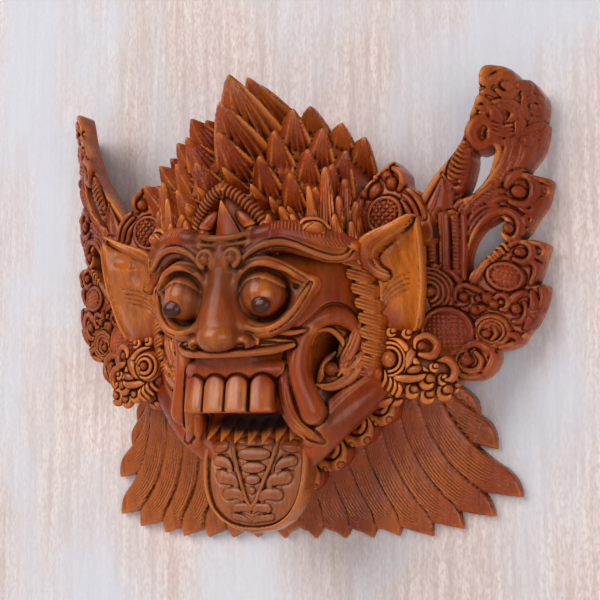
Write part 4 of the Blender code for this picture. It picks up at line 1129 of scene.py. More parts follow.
def carve_lotus(pitch):
    """The lotus at the temple: a boss and its upright, fluted petals."""
    block = Block((16, -84, 12), (60, -30, 56), pitch, halved=False)
    petals = ((47.4, -54.5, 47, 5.4, 13), (51.6, -52, 37, 4.6, 11), (41.6, -63, 51.4, 5.0, 13),
              (46.4, -59.4, 38.6, 4.0, 11), (36, -68.6, 42.4, 3.1, 9), (24.6, -73.6, 33.4, 3.9, 11),
              (30.4, -74.4, 29.4, 2.6, 7))
    for x, y, z, half, flutes in petals:
        root = (37 + 0.62 * (x - 37), y + 6, 20)
        block.cone(root, (x, y, z), half, flutes=flutes, notch=0.42, bulge=0.36, flat=0.75, moat=0.6)
    block.ball((38.8, -70, 23.2), (5.2, 4.6, 3.2), moat=0.6)
    block.strand([(33.4, -72.6, 23.2, 0.7), (36, -72.8, 26.6, 1.0), (41.4, -69.4, 26.8, 1.0),
                  (44.6, -65, 23.6, 0.7)], moat=0.5)
    block.strand([(36.4, -74.2, 22.6, 0.5), (38.6, -73.8, 24.6, 0.7), (41.4, -71.4, 23.6, 0.5)], moat=0.4)
    for x, y, z in ((20, -77.4, 30), (44.8, -62.4, 30.4), (50, -56, 27.6)):
        block.cone((x, y + 4, 15), (x + 0.8, y, z), 4.2, flutes=9, notch=0.4, bulge=0.5, moat=0.5)
    return block


def carve_jewel(pitch):
    """The pointed jewel over the brow, in its corded border."""
    block = Block((0, -90, 14), (25, -56, 48), pitch)
    block.cone((0, -66, 20), (0, -76.4, 43), 15, sides=4, bulge=0.8, flat=0.7)
    block.cone((0, -74, 19.4), (0, -82.4, 37), 7.4, sides=4, bulge=0.85, flat=0.85, moat=0.8)
    block.ball((9.6, -76.2, 27.8), (3.0, 2.4, 6.6), tilt=-44, moat=0.5)
    block.ball((12, -74.6, 23.4), (3.6, 3.4, 2.6), tilt=-20, moat=0.5)
    cord = flowing([(-1, -81.4, 42.4), (4.2, -80.4, 40.2), (8.8, -78.8, 36.8), (12.8, -76.8, 32.8),
                    (16, -74.8, 28.6), (17.4, -73.4, 25)], 30)
    lengths = np.concatenate([[0], np.cumsum(np.linalg.norm(np.diff(cord, axis=0), axis=1))])
    block.strand([(x, y + 1.0, z, 2.2) for x, y, z in cord[::20]], steps=3)
    for gone in np.arange(0.8, lengths[-1], 2.1):
        x, y, z = (float(np.interp(gone, lengths, cord[:, axis])) for axis in range(3))
        block.ball((x, y, z), (2.9, 2.3, 0.95), tilt=-64 + 30 * gone / lengths[-1])
    block.ball((18, -73, 25), (2.2, 2.4, 2.2), moat=0.4)
    return block


def draw_side_leaf(plan):
    """The disc, the band and the curls of the ornament between crest and wing."""
    plan.strip(((50, 41), (48.6, 34), (49.4, 26), (51, 18)), (1.6, 2.2, 2.4), bulge=0.8, lift=0.6)
    for reach in (18.6, 15.6, 12.4):
        arc = [(61.5 + reach * math.cos(a), 27 + reach * math.sin(a)) for a in np.linspace(0.1, 0.95, 7)]
        plan.strip(arc, (0.9, 1.4, 0.9), bulge=1.2)
    plan.disc(61.5, 31.4, (8.6, 8.0), 3.4, tilt=42, cell=2.5, depth=1.2)
    plan.strip(((50.2, 41.4), (53.6, 45), (57.4, 48.6)), (1.2, 1.0, 0.7), bulge=1.3, lift=1)
    plan.dome(56.8, 42.6, (2.6, 4.0), 2.2, tilt=-38)
    plan.dome(62.6, 49, (2.6, 3.0), 2.6, tilt=20)
    plan.dome(51.8, 41.6, 1.9, 2.8, lift=0.5)
    plan.dome(57.2, 49, 1.5, 2.4, lift=0.4)
    plan.strip(((58.6, 50.4), (62.4, 52.8), (65.2, 54.6)), (1.0, 1.4, 0.7), bulge=1.2, lift=0.6)
    plan.strip(((66, 52), (69.6, 49.4), (70.2, 45.4), (68.4, 42.4)), (1.2, 1.7, 1.6, 1.0), bulge=1.2,
               lift=0.6)
    plan.dome(65.2, 45.4, 2.7, 3.6)


def carve_side_leaf(pitch):
    """The ornament between the crest and the right wing."""
    block = Block((44, -58, 14), (84, 1, 60), pitch, halved=False)
    plan = Plan(block, (44, 16), (84, 58))
    plan.outline(SIDE_LEAF_OUTLINE)
    draw_side_leaf(plan)
    depth = -42.6 + 0 * plan.rise
    block.relief(plan, depth, depth + 12)
    return block


def carve_crest(pitch):
    """Crown and spikes."""
    block = Block((-72, -93, 12), (68, 1, 101), pitch, halved=False)
    block.ball((0, -22, 34), (51, 47, 46))
    block.ball((0, -34, 44), (38, 36, 32), soft=3)
    for width, back, lean, *tips in (*SIDE_SPIKES, *MIDDLE_SPIKES):
        for tip in sorted(tips, key=lambda place: -abs(place[0])):
            carve_spike(block, width, back, lean, tip)
    return block


# Beard


BEARD_TIPS = ((8, -114.6), (23.5, -114.1), (37.4, -113.4), (50.7, -112.2), (67.4, -111.8), (82.3, -108.1),
              (97.5, -102.3), (110.5, -93.5), )
BEARD_SIDE_TIPS = ((98.5, -72.1), (89, -61.2))
LEFT_BEARD_TIPS = ((-8.4, -115), (-23.3, -115), (-36.7, -115.4), (-50.3, -115.6), (-64.4, -115.4),
                   (-75.4, -114), (-90, -111.2), (-101.5, -105.2), )
LEFT_BEARD_SIDE_TIPS = ((-102.5, -86.6), (-94.6, -72.7), (-90.6, -62))


# The golden tone over the left half is painted light: it lightens the side that the light falls on.
BEARD_TONES = (("ashen", (0, -10, -90), (150, 60, 90), 0.15, 0.3),
               ("golden", (-60, -10, -90), (60, 60, 60), 0.3, 0.4))


def beard_lock(plan, root, tip):
    """A lock that falls from the jaw, sweeps out and hooks down to a point, cut into fine strands."""
    way = math.copysign(1, tip[0])
    hook = min(abs(tip[0] - root[0]) / 4, 9)
    bend = (tip[0] - way * hook, tip[1] + 9.5 - 0.3 * hook)
    dx, dz = bend[0] - root[0], bend[1] - root[1]
    path = [(root[0] + dx * across, root[1] + dz * down) for across, down in ((0, 0), (0.1, 0.34),
                                                                              (0.36, 0.68), (0.7, 0.9))]
    path += [bend, ((bend[0] + tip[0]) / 2 + 0.6 * way, (bend[1] + tip[1]) / 2), tip]
    plan.strip(path, (5.6, 7.2, 8.2, 7.9, 6.0, 3.2, 0.3), bulge=0.34, lift=(17.5, 14, 10.4, 7.6, 5.6, 4.4,
                                                                            3.2), flutes=12, notch=0.3,
               outlined=True, steps=8, cut=0.4)


def draw_beard(plan):
    """All the locks, from the sides to the middle."""
    for tips, sides in ((BEARD_TIPS, BEARD_SIDE_TIPS), (LEFT_BEARD_TIPS, LEFT_BEARD_SIDE_TIPS)):
        way = math.copysign(1, tips[0][0])
        for i, tip in reversed(list(enumerate(sides))):
            beard_lock(plan, (way * 72, -43 + 3 * i), tip)
        for i, tip in reversed(list(enumerate(tips))):
            share = i / (len(tips) - 1)
            beard_lock(plan, (way * (4 + 66 * share), -84 + 38 * share**0.9), tip)


def jaw_curl(block, x, y, z, size):
    """One of the curls along the jaw: a ball in a crescent, with leaves beside it."""
    block.ball((x, y + 5, z), (size + 1.0, 8, size + 0.4), moat=0.6)
    arc = [(x + size * 0.86 * math.cos(a), y - 2.0, z + size * 0.86 * math.sin(a))
           for a in np.linspace(math.radians(150), math.radians(395), 9)]
    widths = np.interp(np.linspace(0, 1, 9), (0, 0.35, 0.6, 1), (0.12, 0.28, 0.34, 0.12)) * size
    block.strand([(*place, half) for place, half in zip(arc, widths)], steps=3, moat=0.6)
    inner = [(x + size * (0.08 + 0.46 * math.cos(a)), y - 3.2, z + size * (0.1 + 0.46 * math.sin(a)),
              size * 0.17) for a in np.linspace(math.radians(-60), math.radians(190), 8)]
    block.strand(inner, steps=3, moat=0.5)
    block.ball((x + size * 0.06, y - 3.4, z + size * 0.1), size * 0.22, moat=0.5)
    block.strand([(x - size * 0.7, y - 2.4, z + size * 0.8, size * 0.08),
                  (x - size * 0.98, y - 2.4, z + size * 0.1, size * 0.2),
                  (x - size * 0.72, y - 2.4, z - size * 0.7, size * 0.08)], moat=0.5)
    block.ball((x + size * 0.7, y - 2.6, z - size * 0.74), size * 0.2, moat=0.4)
    block.ball((x - size * 0.2, y - 2.8, z - size * 0.98), size * 0.17, moat=0.4)


def carve_beard(pitch):
    """The beard."""
    block = Block((-118, -30, -121), (118, 1, -37), pitch, halved=False)
    plan = Plan(block, (-118, -121), (118, -37))
    plan.edge[:] = FAR
    draw_beard(plan)
    wall = 0 * plan.rise
    block.relief(plan, wall, wall + 1, soft=1.0)
    return block


def carve_jaw_curls(pitch):
    """The row of curls that joins the beard to the jaw."""
    block = Block((4, -46, -96), (64, -8, -42), pitch, halved=False)
    for x, y, z, size in ((17, -31, -83.5, 7.5), (29.5, -30.5, -73, 8.0), (41.5, -28, -62, 8.0),
                          (52, -26, -53.5, 7.2)):
        jaw_curl(block, x, y, z, size)
    return block


# Tongue

TONGUE_HEIGHTS = (-109.5, -108, -104, -98, -90, -80, -71, -65, -60, -54)
TONGUE_DEPTHS = (-50.5, -51, -52, -52.5, -52, -51, -50, -48, -43, -34)
TONGUE_HALVES = (3.5, 10, 17, 22, 25.4, 26.6, 26, 24, 20, 15)
# The stain at the top of the tongue, under the teeth, is painted shade; the faint one over the whole tongue
# darkens it a little.
TONGUE_TONES = (("ashen", (0, -52, -90), (30, 14, 24), 0.6, 0.25), ("stain_and_shade", (0, -40, -59), (26, 14, 5),
                                                                    0.8, 0.25),
                ("stain_and_shade", (0, -50, -92), (40, 20, 40), 0.14, 0.2))


def draw_tongue(plan):
    """The rim, the pointed middle with its bars, and the leaves beside it."""
    plan.strip(((23.6, -64), (25.2, -72), (25.3, -84), (23.3, -94), (19.2, -101.4), (12.6, -106.2),
                (5, -108.2), (-2, -108.4)), (1.3,), bulge=0.9, lift=1.4, cut=0.5)
    plan.strip(((11.6, -66), (10.9, -71), (8.6, -79), (5.6, -87), (2.6, -95), (-0.4, -99)), (0.95,),
               bulge=1.0, lift=0.6, cut=0.4)
    for z, wide, high in ((-74.4, 8.6, 3.1), (-80.4, 6.2, 2.6), (-85.8, 4.0, 2.2), (-90.6, 1.9, 1.6),
                          (-68.6, 9.4, 2.2)):
        plan.dome(0, z, (wide, high), 0.8, lift=0.3, cut=0.4)
    plan.dome(18.3, -70.8, (4.6, 3.0), 0.8, lift=0.3, tilt=-8, cut=0.4)
    leaves = (
        (((11.6, -85), (12.2, -80.8), (15, -78.2), (19.2, -77.4)), (0.4, 1.5, 2.4, 2.3)),
        (((8.2, -91.4), (8.6, -87.6), (11.4, -85.2), (16, -84.6)), (0.4, 1.9, 3.1, 3.2)),
        (((4.8, -97.2), (5.4, -93.6), (8.4, -91.8), (12.6, -92.4)), (0.4, 1.6, 2.7, 2.7)),
        (((0.8, -100.4), (3.4, -98), (7.6, -98.6)), (0.5, 1.8, 2.2)),
        (((0.8, -104.8), (4.6, -103.2), (9.6, -102.4)), (0.5, 1.4, 1.5)),
    )
    for path, widths in leaves:
        plan.strip(path, widths, bulge=0.28, lift=0.3, cut=0.4)
        plan.incise([(x - 1.3, z + 1.3 + 0.5 * i) for i, (x, z) in enumerate(path)], (0.3, 0.45, 0.3), 0.5)
    for z in (-74.6, -81.4):
        plan.incise(((12.6, z - 2), (15, z), (19.8, z - 0.4)), (0.3, 0.5, 0.3), 0.6)


def carve_tongue(pitch):
    """The long tongue, hollowed a little along its face inside a raised rim."""
    block = Block((0, -62, -112), (29, -20, -52), pitch)
    plan = Plan(block, (0, -112), (29, -52))
    half = np.interp(plan.z, TONGUE_HEIGHTS, TONGUE_HALVES) + 0 * plan.x
    half = np.where(plan.z < TONGUE_HEIGHTS[0], 0, half)
    sides = list(zip(TONGUE_HALVES, TONGUE_HEIGHTS))
    far = polygon_distance(np.array([(0, -109.8), *sides, (0, -50)] + [(-x, z) for x, z in sides[::-1]]),
                           plan.x, plan.z)
    plan.edge = np.maximum(plan.edge, far)
    depth = np.interp(plan.z, TONGUE_HEIGHTS, TONGUE_DEPTHS) + 2.5 * np.clip(plan.x / np.maximum(half, 1), 0,
                                                                             1) ** 2
    draw_tongue(plan)
    block.relief(plan, depth, depth + 9.5, soft=1.2)
    return block


# Meshes


def bare_scene():
    """Deselects everything."""
    if bpy.context.mode != "OBJECT":
        bpy.ops.object.mode_set(mode="OBJECT")
    bpy.ops.object.select_all(action="DESELECT")


def piece_from(block, name, budget, wood, tones=()):
    """The block's skin as an object, thinned to a number of triangles, with the finish's marks."""
    bare_scene()
    block.mirrored()
    block.close()
    points, corners = block.skin()
    mesh = bpy.data.meshes.new(name)
    mesh.vertices.add(len(points))
    mesh.vertices.foreach_set("co", ((points - (0, 0, PAD_HEIGHT)) * UNIT).astype(np.float32).ravel())
    mesh.loops.add(corners.size)
    mesh.loops.foreach_set("vertex_index", corners.astype(np.int32).ravel())
    mesh.polygons.add(len(corners))
    mesh.polygons.foreach_set("loop_start", np.arange(0, corners.size, 4, dtype=np.int32))
    mesh.update(calc_edges=True)
    made = bpy.data.objects.new(name, mesh)
    bpy.context.scene.collection.objects.link(made)
    bpy.context.view_layer.objects.active = made
    made.select_set(True)
    thin = made.modifiers.new("thin", "DECIMATE")
    thin.ratio = min(1.0, budget / (2 * len(corners)))
    bpy.ops.object.modifier_apply(modifier=thin.name)
    bpy.ops.object.shade_smooth()
    flatten_back(made.data)
    mark_surface(made, block, tones)
    made.data.materials.append(wood)
    print(name, "triangles from", 2 * len(corners), "to",
          sum(len(face.vertices) - 2 for face in made.data.polygons))
    return made


def flatten_back(mesh):
    """Faces that lie on the wall are shaded flat, so the rim's roundness doesn't smear over them."""
    for face in mesh.polygons:
        if face.normal.y > LEVEL and face.center.y > -WALL_REACH * UNIT:
            face.use_smooth = False


def mark_surface(made, block, tones):
    """Stores at each point how deep it lies (for patina and painted shade), how sharp an edge it stands on
    (for rubbed wood and a painted highlight), and the wood's tones.
    """
    mesh = made.data
    count = len(mesh.vertices)
    points, normals = np.empty(count * 3, np.float32), np.empty(count * 3, np.float32)
    mesh.vertices.foreach_get("co", points)
    mesh.vertices.foreach_get("normal", normals)
    points = points.reshape(-1, 3) / UNIT + (0, 0, PAD_HEIGHT)
    normals = normals.reshape(-1, 3)
    # The first mark darkens shut-in places, as patina and as painted shade; the second lightens sharp edges,
    # as rubbed wood and as a painted highlight.
    hollow_patina_and_shade, rubbed_and_highlit = np.zeros(count), np.zeros(count)
    for reach, weight in ((0.9, 0.35), (1.8, 0.3), (3.6, 0.35)):
        hollow_patina_and_shade += weight * (1 - np.clip(block.distance(points + normals * reach) / reach, 0, 1))
        rubbed_and_highlit += weight * (1 - np.clip(-block.distance(points - normals * reach) / reach, 0, 1))
    on_wall = points[:, 1] > -WALL_TOUCH
    hollow_patina_and_shade[on_wall] = 0
    rubbed_and_highlit[on_wall] = 0
    marks = {"hollow_patina_and_shade": hollow_patina_and_shade, "rubbed_and_highlit": rubbed_and_highlit}
    for name in ("golden", "ashen", "stain_and_shade"):
        marks[name] = np.zeros(count)
    for name, centre, radii, strength, blur in tones:
        away = np.sqrt((((points - centre) / radii) ** 2).sum(axis=1))
        share = np.clip((1 + blur - away) / (2 * blur), 0, 1)
        marks[name] = np.maximum(marks[name], strength * share * share * (3 - 2 * share))
    for name, values in marks.items():
        mesh.attributes.new(name, "FLOAT", "POINT").data.foreach_set("value", values.astype(np.float32))


# Finishes


def node(tree, kind, inputs=None, **settings):
    """A node with its settings and inputs. An input that is a socket is linked."""
    made = tree.nodes.new(kind)
    for name, value in settings.items():
        setattr(made, name, value)
    for name, value in (inputs or {}).items():
        if isinstance(value, bpy.types.NodeSocket):
            tree.links.new(value, made.inputs[name])
        else:
            made.inputs[name].default_value = value
    return made


def mixed(tree, share, first, second, blend="MIX"):
    """The colour between two others."""
    made = node(tree, "ShaderNodeMix", data_type="RGBA", blend_type=blend)
    for socket, value in ((made.inputs[0], share), (made.inputs[6], first), (made.inputs[7], second)):
        if isinstance(value, bpy.types.NodeSocket):
            tree.links.new(value, socket)
        else:
            socket.default_value = value
    return made.outputs[2]


def ranged(tree, value, low, high, first=0.0, last=1.0):
    """A value carried from one range to another."""
    made = node(tree, "ShaderNodeMapRange", {0: value, 1: low, 2: high, 3: first, 4: last})
    return made.outputs[0]


def spot(tree, place, centre, radii):
    """A crisp egg-shaped spot, and its twin across the middle: 1 inside it, 0 outside."""
    both = node(tree, "ShaderNodeVectorMath", {0: place}, operation="ABSOLUTE").outputs[0]
    middle = (centre[0] * UNIT, abs(centre[1]) * UNIT, abs(centre[2] - PAD_HEIGHT) * UNIT)
    away = node(tree, "ShaderNodeVectorMath", {0: both, 1: middle}, operation="SUBTRACT").outputs[0]
    share = node(tree, "ShaderNodeVectorMath", {0: away, 1: [radius * UNIT for radius in radii]},
                 operation="DIVIDE").outputs[0]
    length = node(tree, "ShaderNodeVectorMath", {0: share}, operation="LENGTH").outputs["Value"]
    return ranged(tree, length, 0.96, 1.04, 1.0, 0.0)


def wood_finish(look):
    """The polished hardwood: streaked grain, dark patina and painted shade in the hollows, rubbed edges with
    a painted highlight, and stains with painted shade in the dark openings.
    """
    material = bpy.data.materials.new("polished_wood")
    material.use_nodes = True
    tree = material.node_tree
    shader = tree.nodes["Principled BSDF"]
    place = node(tree, "ShaderNodeTexCoord").outputs["Object"]
    grain_place = node(tree, "ShaderNodeMapping", {"Vector": place, "Scale": (1.0, 1.0, 0.13)}).outputs[0]
    broad = node(tree, "ShaderNodeTexNoise", {"Vector": grain_place, "Scale": 38.0, "Detail": 3.0,
                                              "Distortion": 0.6}).outputs[0]
    streaks = node(tree, "ShaderNodeTexNoise", {"Vector": grain_place, "Scale": 420.0, "Detail": 4.0,
                                                "Roughness": 0.62}).outputs[0]
    pores = node(tree, "ShaderNodeTexNoise", {"Vector": grain_place, "Scale": 1500.0,
                                              "Detail": 2.0}).outputs[0]
    patches = node(tree, "ShaderNodeTexNoise", {"Vector": place, "Scale": 17.0, "Detail": 2.0}).outputs[0]
    hollow_patina_and_shade = node(tree, "ShaderNodeAttribute", attribute_name="hollow_patina_and_shade").outputs["Fac"]
    rubbed_and_highlit = node(tree, "ShaderNodeAttribute", attribute_name="rubbed_and_highlit").outputs["Fac"]

    golden = node(tree, "ShaderNodeAttribute", attribute_name="golden").outputs["Fac"]
    ashen = node(tree, "ShaderNodeAttribute", attribute_name="ashen").outputs["Fac"]
    stain_and_shade = node(tree, "ShaderNodeAttribute", attribute_name="stain_and_shade").outputs["Fac"]

    colour = mixed(tree, ranged(tree, broad, 0.4, 0.74), (*look.wood_red, 1), (*look.wood_orange, 1))
    colour = mixed(tree, ranged(tree, patches, 0.45, 0.75, 0.0, 0.4), colour, (*look.wood_gold, 1))
    colour = mixed(tree, golden, colour, (*look.wood_honey, 1))
    colour = mixed(tree, ashen, colour, (*look.wood_ash, 1))
    colour = mixed(tree, ranged(tree, streaks, 0.42, 0.7, 0.0, 0.45), colour, (*look.wood_dark, 1))
    colour = mixed(tree, ranged(tree, pores, 0.58, 0.72, 0.0, 0.35), colour, (*look.wood_dark, 1))
    # Sharp edges lightened to gold: partly rubbed wood, partly a painted highlight.
    colour = mixed(tree, ranged(tree, rubbed_and_highlit, 0.28, 0.76, 0.0, 0.86), colour, (*look.wood_gold, 1))
    # Hollows darkened: partly patina, partly painted shade.
    colour = mixed(tree, ranged(tree, hollow_patina_and_shade, 0.18, 0.68, 0.0, 0.92), colour, (*look.wood_patina_and_shade, 1))
    pupil = spot(tree, place, PUPIL, PUPIL_RADII)
    # Stains darken the wood; in the mouth, nostrils, eye sockets, under the teeth and in the holes by the
    # cheeks they are painted shade.
    colour = mixed(tree, stain_and_shade, colour, (*look.wood_stain_and_shade, 1))
    colour = mixed(tree, pupil, colour, (*look.wood_pupil, 1))
    tree.links.new(colour, shader.inputs["Base Color"])

    rough = ranged(tree, streaks, 0.3, 0.75, look.polish - 0.05, look.polish + 0.12)
    dull = node(tree, "ShaderNodeMath", {0: ranged(tree, stain_and_shade, 0.4, 0.9),
                                         1: ranged(tree, hollow_patina_and_shade, 0.15, 0.7, 0.0, 0.8)}, operation="MAXIMUM")
    dull = node(tree, "ShaderNodeMath", {0: dull.outputs[0], 1: ranged(tree, pupil, 0.0, 1.0, 0.0, 0.2)},
                operation="MAXIMUM")
    rough = node(tree, "ShaderNodeMath", {0: rough, 1: ranged(tree, dull.outputs[0], 0.0, 1.0, 0.0,
                                                              0.4)}).outputs[0]
    tree.links.new(rough, shader.inputs["Roughness"])
    shader.inputs["Specular IOR Level"].default_value = 0.2
    gloss = ranged(tree, golden, 0.0, 0.5, 0.15, 0.42)
    gloss = node(tree, "ShaderNodeMath", {0: gloss, 1: ranged(tree, dull.outputs[0], 0.0, 0.8, 1.0, 0.0)},
                 operation="MULTIPLY")
    tree.links.new(gloss.outputs[0], shader.inputs["Coat Weight"])
    shader.inputs["Coat Roughness"].default_value = 0.14
    bump = node(tree, "ShaderNodeBump", {"Height": streaks, "Strength": 0.22, "Distance": 0.0006})
    tree.links.new(bump.outputs[0], shader.inputs["Normal"])
    return material


def wall_finish(stage):
    """Pale plaster with streaks that run down it, cooler in patches."""
    material = plain_finish("wall_plaster", stage.wall_colour, 0.9)
    tree = material.node_tree
    place = node(tree, "ShaderNodeTexCoord").outputs["Object"]
    drawn = node(tree, "ShaderNodeMapping", {"Vector": place, "Scale": (1.0, 1.0, 0.06)}).outputs[0]
    streaks = node(tree, "ShaderNodeTexNoise", {"Vector": drawn, "Scale": 330.0, "Detail": 4.0,
                                                "Roughness": 0.7}).outputs[0]
    tall = node(tree, "ShaderNodeMapping", {"Vector": place, "Scale": (1.0, 1.0, 0.4)}).outputs[0]
    threads = node(tree, "ShaderNodeTexNoise", {"Vector": tall, "Scale": 900.0, "Detail": 2.0}).outputs[0]
    patches = node(tree, "ShaderNodeTexNoise", {"Vector": tall, "Scale": 16.0, "Detail": 3.0}).outputs[0]
    colour = mixed(tree, ranged(tree, streaks, 0.34, 0.7, 0.0, 0.85), (*stage.wall_colour, 1),
                   (*stage.wall_streak, 1))
    colour = mixed(tree, ranged(tree, threads, 0.42, 0.64, 0.0, 0.6), colour, (*stage.wall_streak, 1))
    colour = mixed(tree, ranged(tree, patches, 0.4, 0.62, 0.0, 0.8), colour, (*stage.wall_cool, 1))
    tree.links.new(colour, tree.nodes["Principled BSDF"].inputs["Base Color"])
    return material


def plain_finish(name, colour, roughness):
    """An even finish for the stage."""
    material = bpy.data.materials.new(name)
    material.use_nodes = True
    shader = material.node_tree.nodes["Principled BSDF"]
    shader.inputs["Base Color"].default_value = (*colour, 1)
    shader.inputs["Roughness"].default_value = roughness
    return material


# Settings


class WallMaskLook(PropertyGroup):
    """Colours and gloss of the wood."""

    wood_red: FloatVectorProperty(name="Red wood", description="The redder of the wood's two browns",
                                  subtype="COLOR", default=(0.215, 0.023, 0.003), min=0, max=1)
    wood_orange: FloatVectorProperty(name="Orange wood",
                                     description="The more orange of the wood's two browns",
                                     subtype="COLOR", default=(0.38, 0.062, 0.007), min=0, max=1)
    # Also the painted highlight on sharp edges and ridges.
    wood_gold: FloatVectorProperty(name="Rubbed wood", description="The golden brown of rubbed edges",
                                   subtype="COLOR", default=(0.66, 0.20, 0.036), min=0, max=1)
    wood_dark: FloatVectorProperty(name="Grain", description="The darker streaks of the grain",
                                   subtype="COLOR", default=(0.085, 0.013, 0.003), min=0, max=1)
    # Dark patina and painted shade at the bottom of the carving.
    wood_patina_and_shade: FloatVectorProperty(name="Hollows", description="The wood at the bottom of the carving",
                                   subtype="COLOR", default=(0.034, 0.0055, 0.0013), min=0, max=1)
    wood_honey: FloatVectorProperty(name="Honey wood",
                                    description="The yellower wood of the ears and the nose tip",
                                    subtype="COLOR", default=(0.52, 0.15, 0.018), min=0, max=1)
    wood_ash: FloatVectorProperty(name="Ashen wood", description="The greyer wood of the tongue",
                                  subtype="COLOR", default=(0.40, 0.15, 0.06), min=0, max=1)
    wood_pupil: FloatVectorProperty(name="Pupils", description="The dark brown stain of the pupils",
                                    subtype="COLOR", default=(0.05, 0.008, 0.004), min=0, max=1)
    # Also the painted shade in the mouth, nostrils, eye sockets and the holes by the cheeks.
    wood_stain_and_shade: FloatVectorProperty(name="Stain", description="The dark stain of the open mouth",
                                    subtype="COLOR", default=(0.012, 0.003, 0.0015), min=0, max=1)
    polish: FloatProperty(name="Roughness", description="How dull the polished wood is",
                          default=0.28, min=0.05, max=1, subtype="FACTOR")


class WallMaskSizes(PropertyGroup):
    """How finely the pieces are carved."""

    wing_pitch: FloatProperty(name="Wing fineness", description="Lattice step of the wings, in carving units",
                              default=0.45, min=0.3, max=2)
    face_pitch: FloatProperty(name="Face fineness", description="Lattice step of the face, in carving units",
                              default=0.5, min=0.3, max=2)
    crest_pitch: FloatProperty(name="Crest fineness",
                               description="Lattice step of the crest, in carving units",
                               default=0.6, min=0.3, max=2)
    beard_pitch: FloatProperty(name="Beard fineness",
                               description="Lattice step of the beard, in carving units",
                               default=0.4, min=0.3, max=2)
    fine_pitch: FloatProperty(name="Detail fineness",
                              description="Lattice step of the small pieces, in carving units",
                              default=0.36, min=0.2, max=2)


class WallMaskStage(PropertyGroup):
    """The wall, the floor, the light and the camera."""

    wall_colour: FloatVectorProperty(name="Wall", description="Colour of the pale wall",
                                     subtype="COLOR", default=(0.73, 0.66, 0.68), min=0, max=1)
    wall_streak: FloatVectorProperty(name="Wall streaks", description="Colour of the streaks down the wall",
                                     subtype="COLOR", default=(0.48, 0.385, 0.38), min=0, max=1)
    wall_cool: FloatVectorProperty(name="Wall patches",
                                   description="Colour of the cooler patches of the wall",
                                   subtype="COLOR", default=(0.57, 0.62, 0.74), min=0, max=1)
    distance: FloatProperty(name="Distance", description="From the camera to the mask",
                            default=0.6854, unit="LENGTH")
    lens: FloatProperty(name="Lens", description="Focal length of the camera", default=84.0, unit="CAMERA")
    key_light: FloatProperty(name="Key light",
                             description="Strength of the window at the upper left, in watts",
                             default=86.0, min=0)
    fill_light: FloatProperty(name="Fill light", description="Strength of the window at the right, in watts",
                              default=44.0, min=0)
    room_light: FloatProperty(name="Room light", description="Strength of the light from all round",
                              default=0.15, min=0)
    azimuth: FloatProperty(name="Azimuth", description="How far round to the right the camera stands",
                           default=math.radians(26.0), subtype="ANGLE")
    elevation: FloatProperty(name="Elevation", description="How far over the mask the camera stands",
                             default=math.radians(-5.912), subtype="ANGLE")


def sizes_and_wood(context):
    """What a carving step needs: how fine the lattices are, and the one wood finish."""
    wood = bpy.data.materials.get("polished_wood") or wood_finish(context.scene.wall_mask_look)
    return context.scene.wall_mask_sizes, wood


def attach(piece):
    """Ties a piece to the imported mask, which it stands for."""
    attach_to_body(piece, "root")
    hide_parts("mask")


def attach_pair(right, name, budget, wood, tones):
    """Makes and ties a piece carved on the right and its mirror image on the left."""
    left = right.flipped()
    attach(piece_from(right, name + "_right", budget, wood, tones))
    attach(piece_from(left, name + "_left", budget, wood, across(tones)))


def across(tones):
    """The same tones on the other side of the middle."""
    return [(name, np.array(centre) * (-1, 1, 1), *rest) for name, centre, *rest in tones]


# Operators


class MASK_OT_carve_face(Operator):
    """Carve the face"""

    bl_idname = "wall_mask.carve_face"
    bl_label = "Carve Face"

    def execute(self, context):
        sizes, wood = sizes_and_wood(context)
        attach(piece_from(carve_face(sizes.face_pitch), "face", 180000, wood, FACE_TONES))
        attach_pair(carve_fringe(sizes.fine_pitch), "fringe", 14000, wood, ())
        return {"FINISHED"}


class MASK_OT_carve_cheeks(Operator):
    """Carve the ribbed scallops down both cheeks"""

    bl_idname = "wall_mask.carve_cheeks"
    bl_label = "Carve Cheek Scallops"

    def execute(self, context):
        sizes, wood = sizes_and_wood(context)
        attach_pair(carve_ruff(sizes.fine_pitch), "scallops", 14000, wood, RUFF_TONES)
        return {"FINISHED"}


class MASK_OT_carve_ears(Operator):
    """Carve both ears and the flowers under them"""

    bl_idname = "wall_mask.carve_ears"
    bl_label = "Carve Ears"

    def execute(self, context):
        sizes, wood = sizes_and_wood(context)
        attach_pair(carve_ear(sizes.face_pitch), "ear", 18000, wood, EAR_TONES)
        right, left = carve_flower(sizes.fine_pitch, 1), carve_flower(sizes.fine_pitch, -1).flipped()
        attach(piece_from(right, "flower_right", 30000, wood, EAR_TONES))
        attach(piece_from(left, "flower_left", 30000, wood, across(EAR_TONES)))
        return {"FINISHED"}


class MASK_OT_carve_wings(Operator):
    """Carve both pierced wings"""

    bl_idname = "wall_mask.carve_wings"
    bl_label = "Carve Wings"

    def execute(self, context):
        sizes, wood = sizes_and_wood(context)
        attach_pair(carve_wing(sizes.wing_pitch), "wing", 88000, wood, ())
        return {"FINISHED"}


class MASK_OT_carve_crest(Operator):
    """Carve the spiked crest, its jewel and its lotus petals"""

    bl_idname = "wall_mask.carve_crest"
    bl_label = "Carve Crest"

    def execute(self, context):
        sizes, wood = sizes_and_wood(context)
        attach(piece_from(carve_crest(sizes.crest_pitch), "crest", 160000, wood, CREST_TONES))
        attach(piece_from(carve_jewel(sizes.fine_pitch), "jewel", 22000, wood, CREST_TONES))
        attach_pair(carve_lotus(sizes.fine_pitch), "lotus", 24000, wood, CREST_TONES)
        attach_pair(carve_side_leaf(sizes.face_pitch * 0.8), "side_leaf", 18000, wood, ())
        return {"FINISHED"}


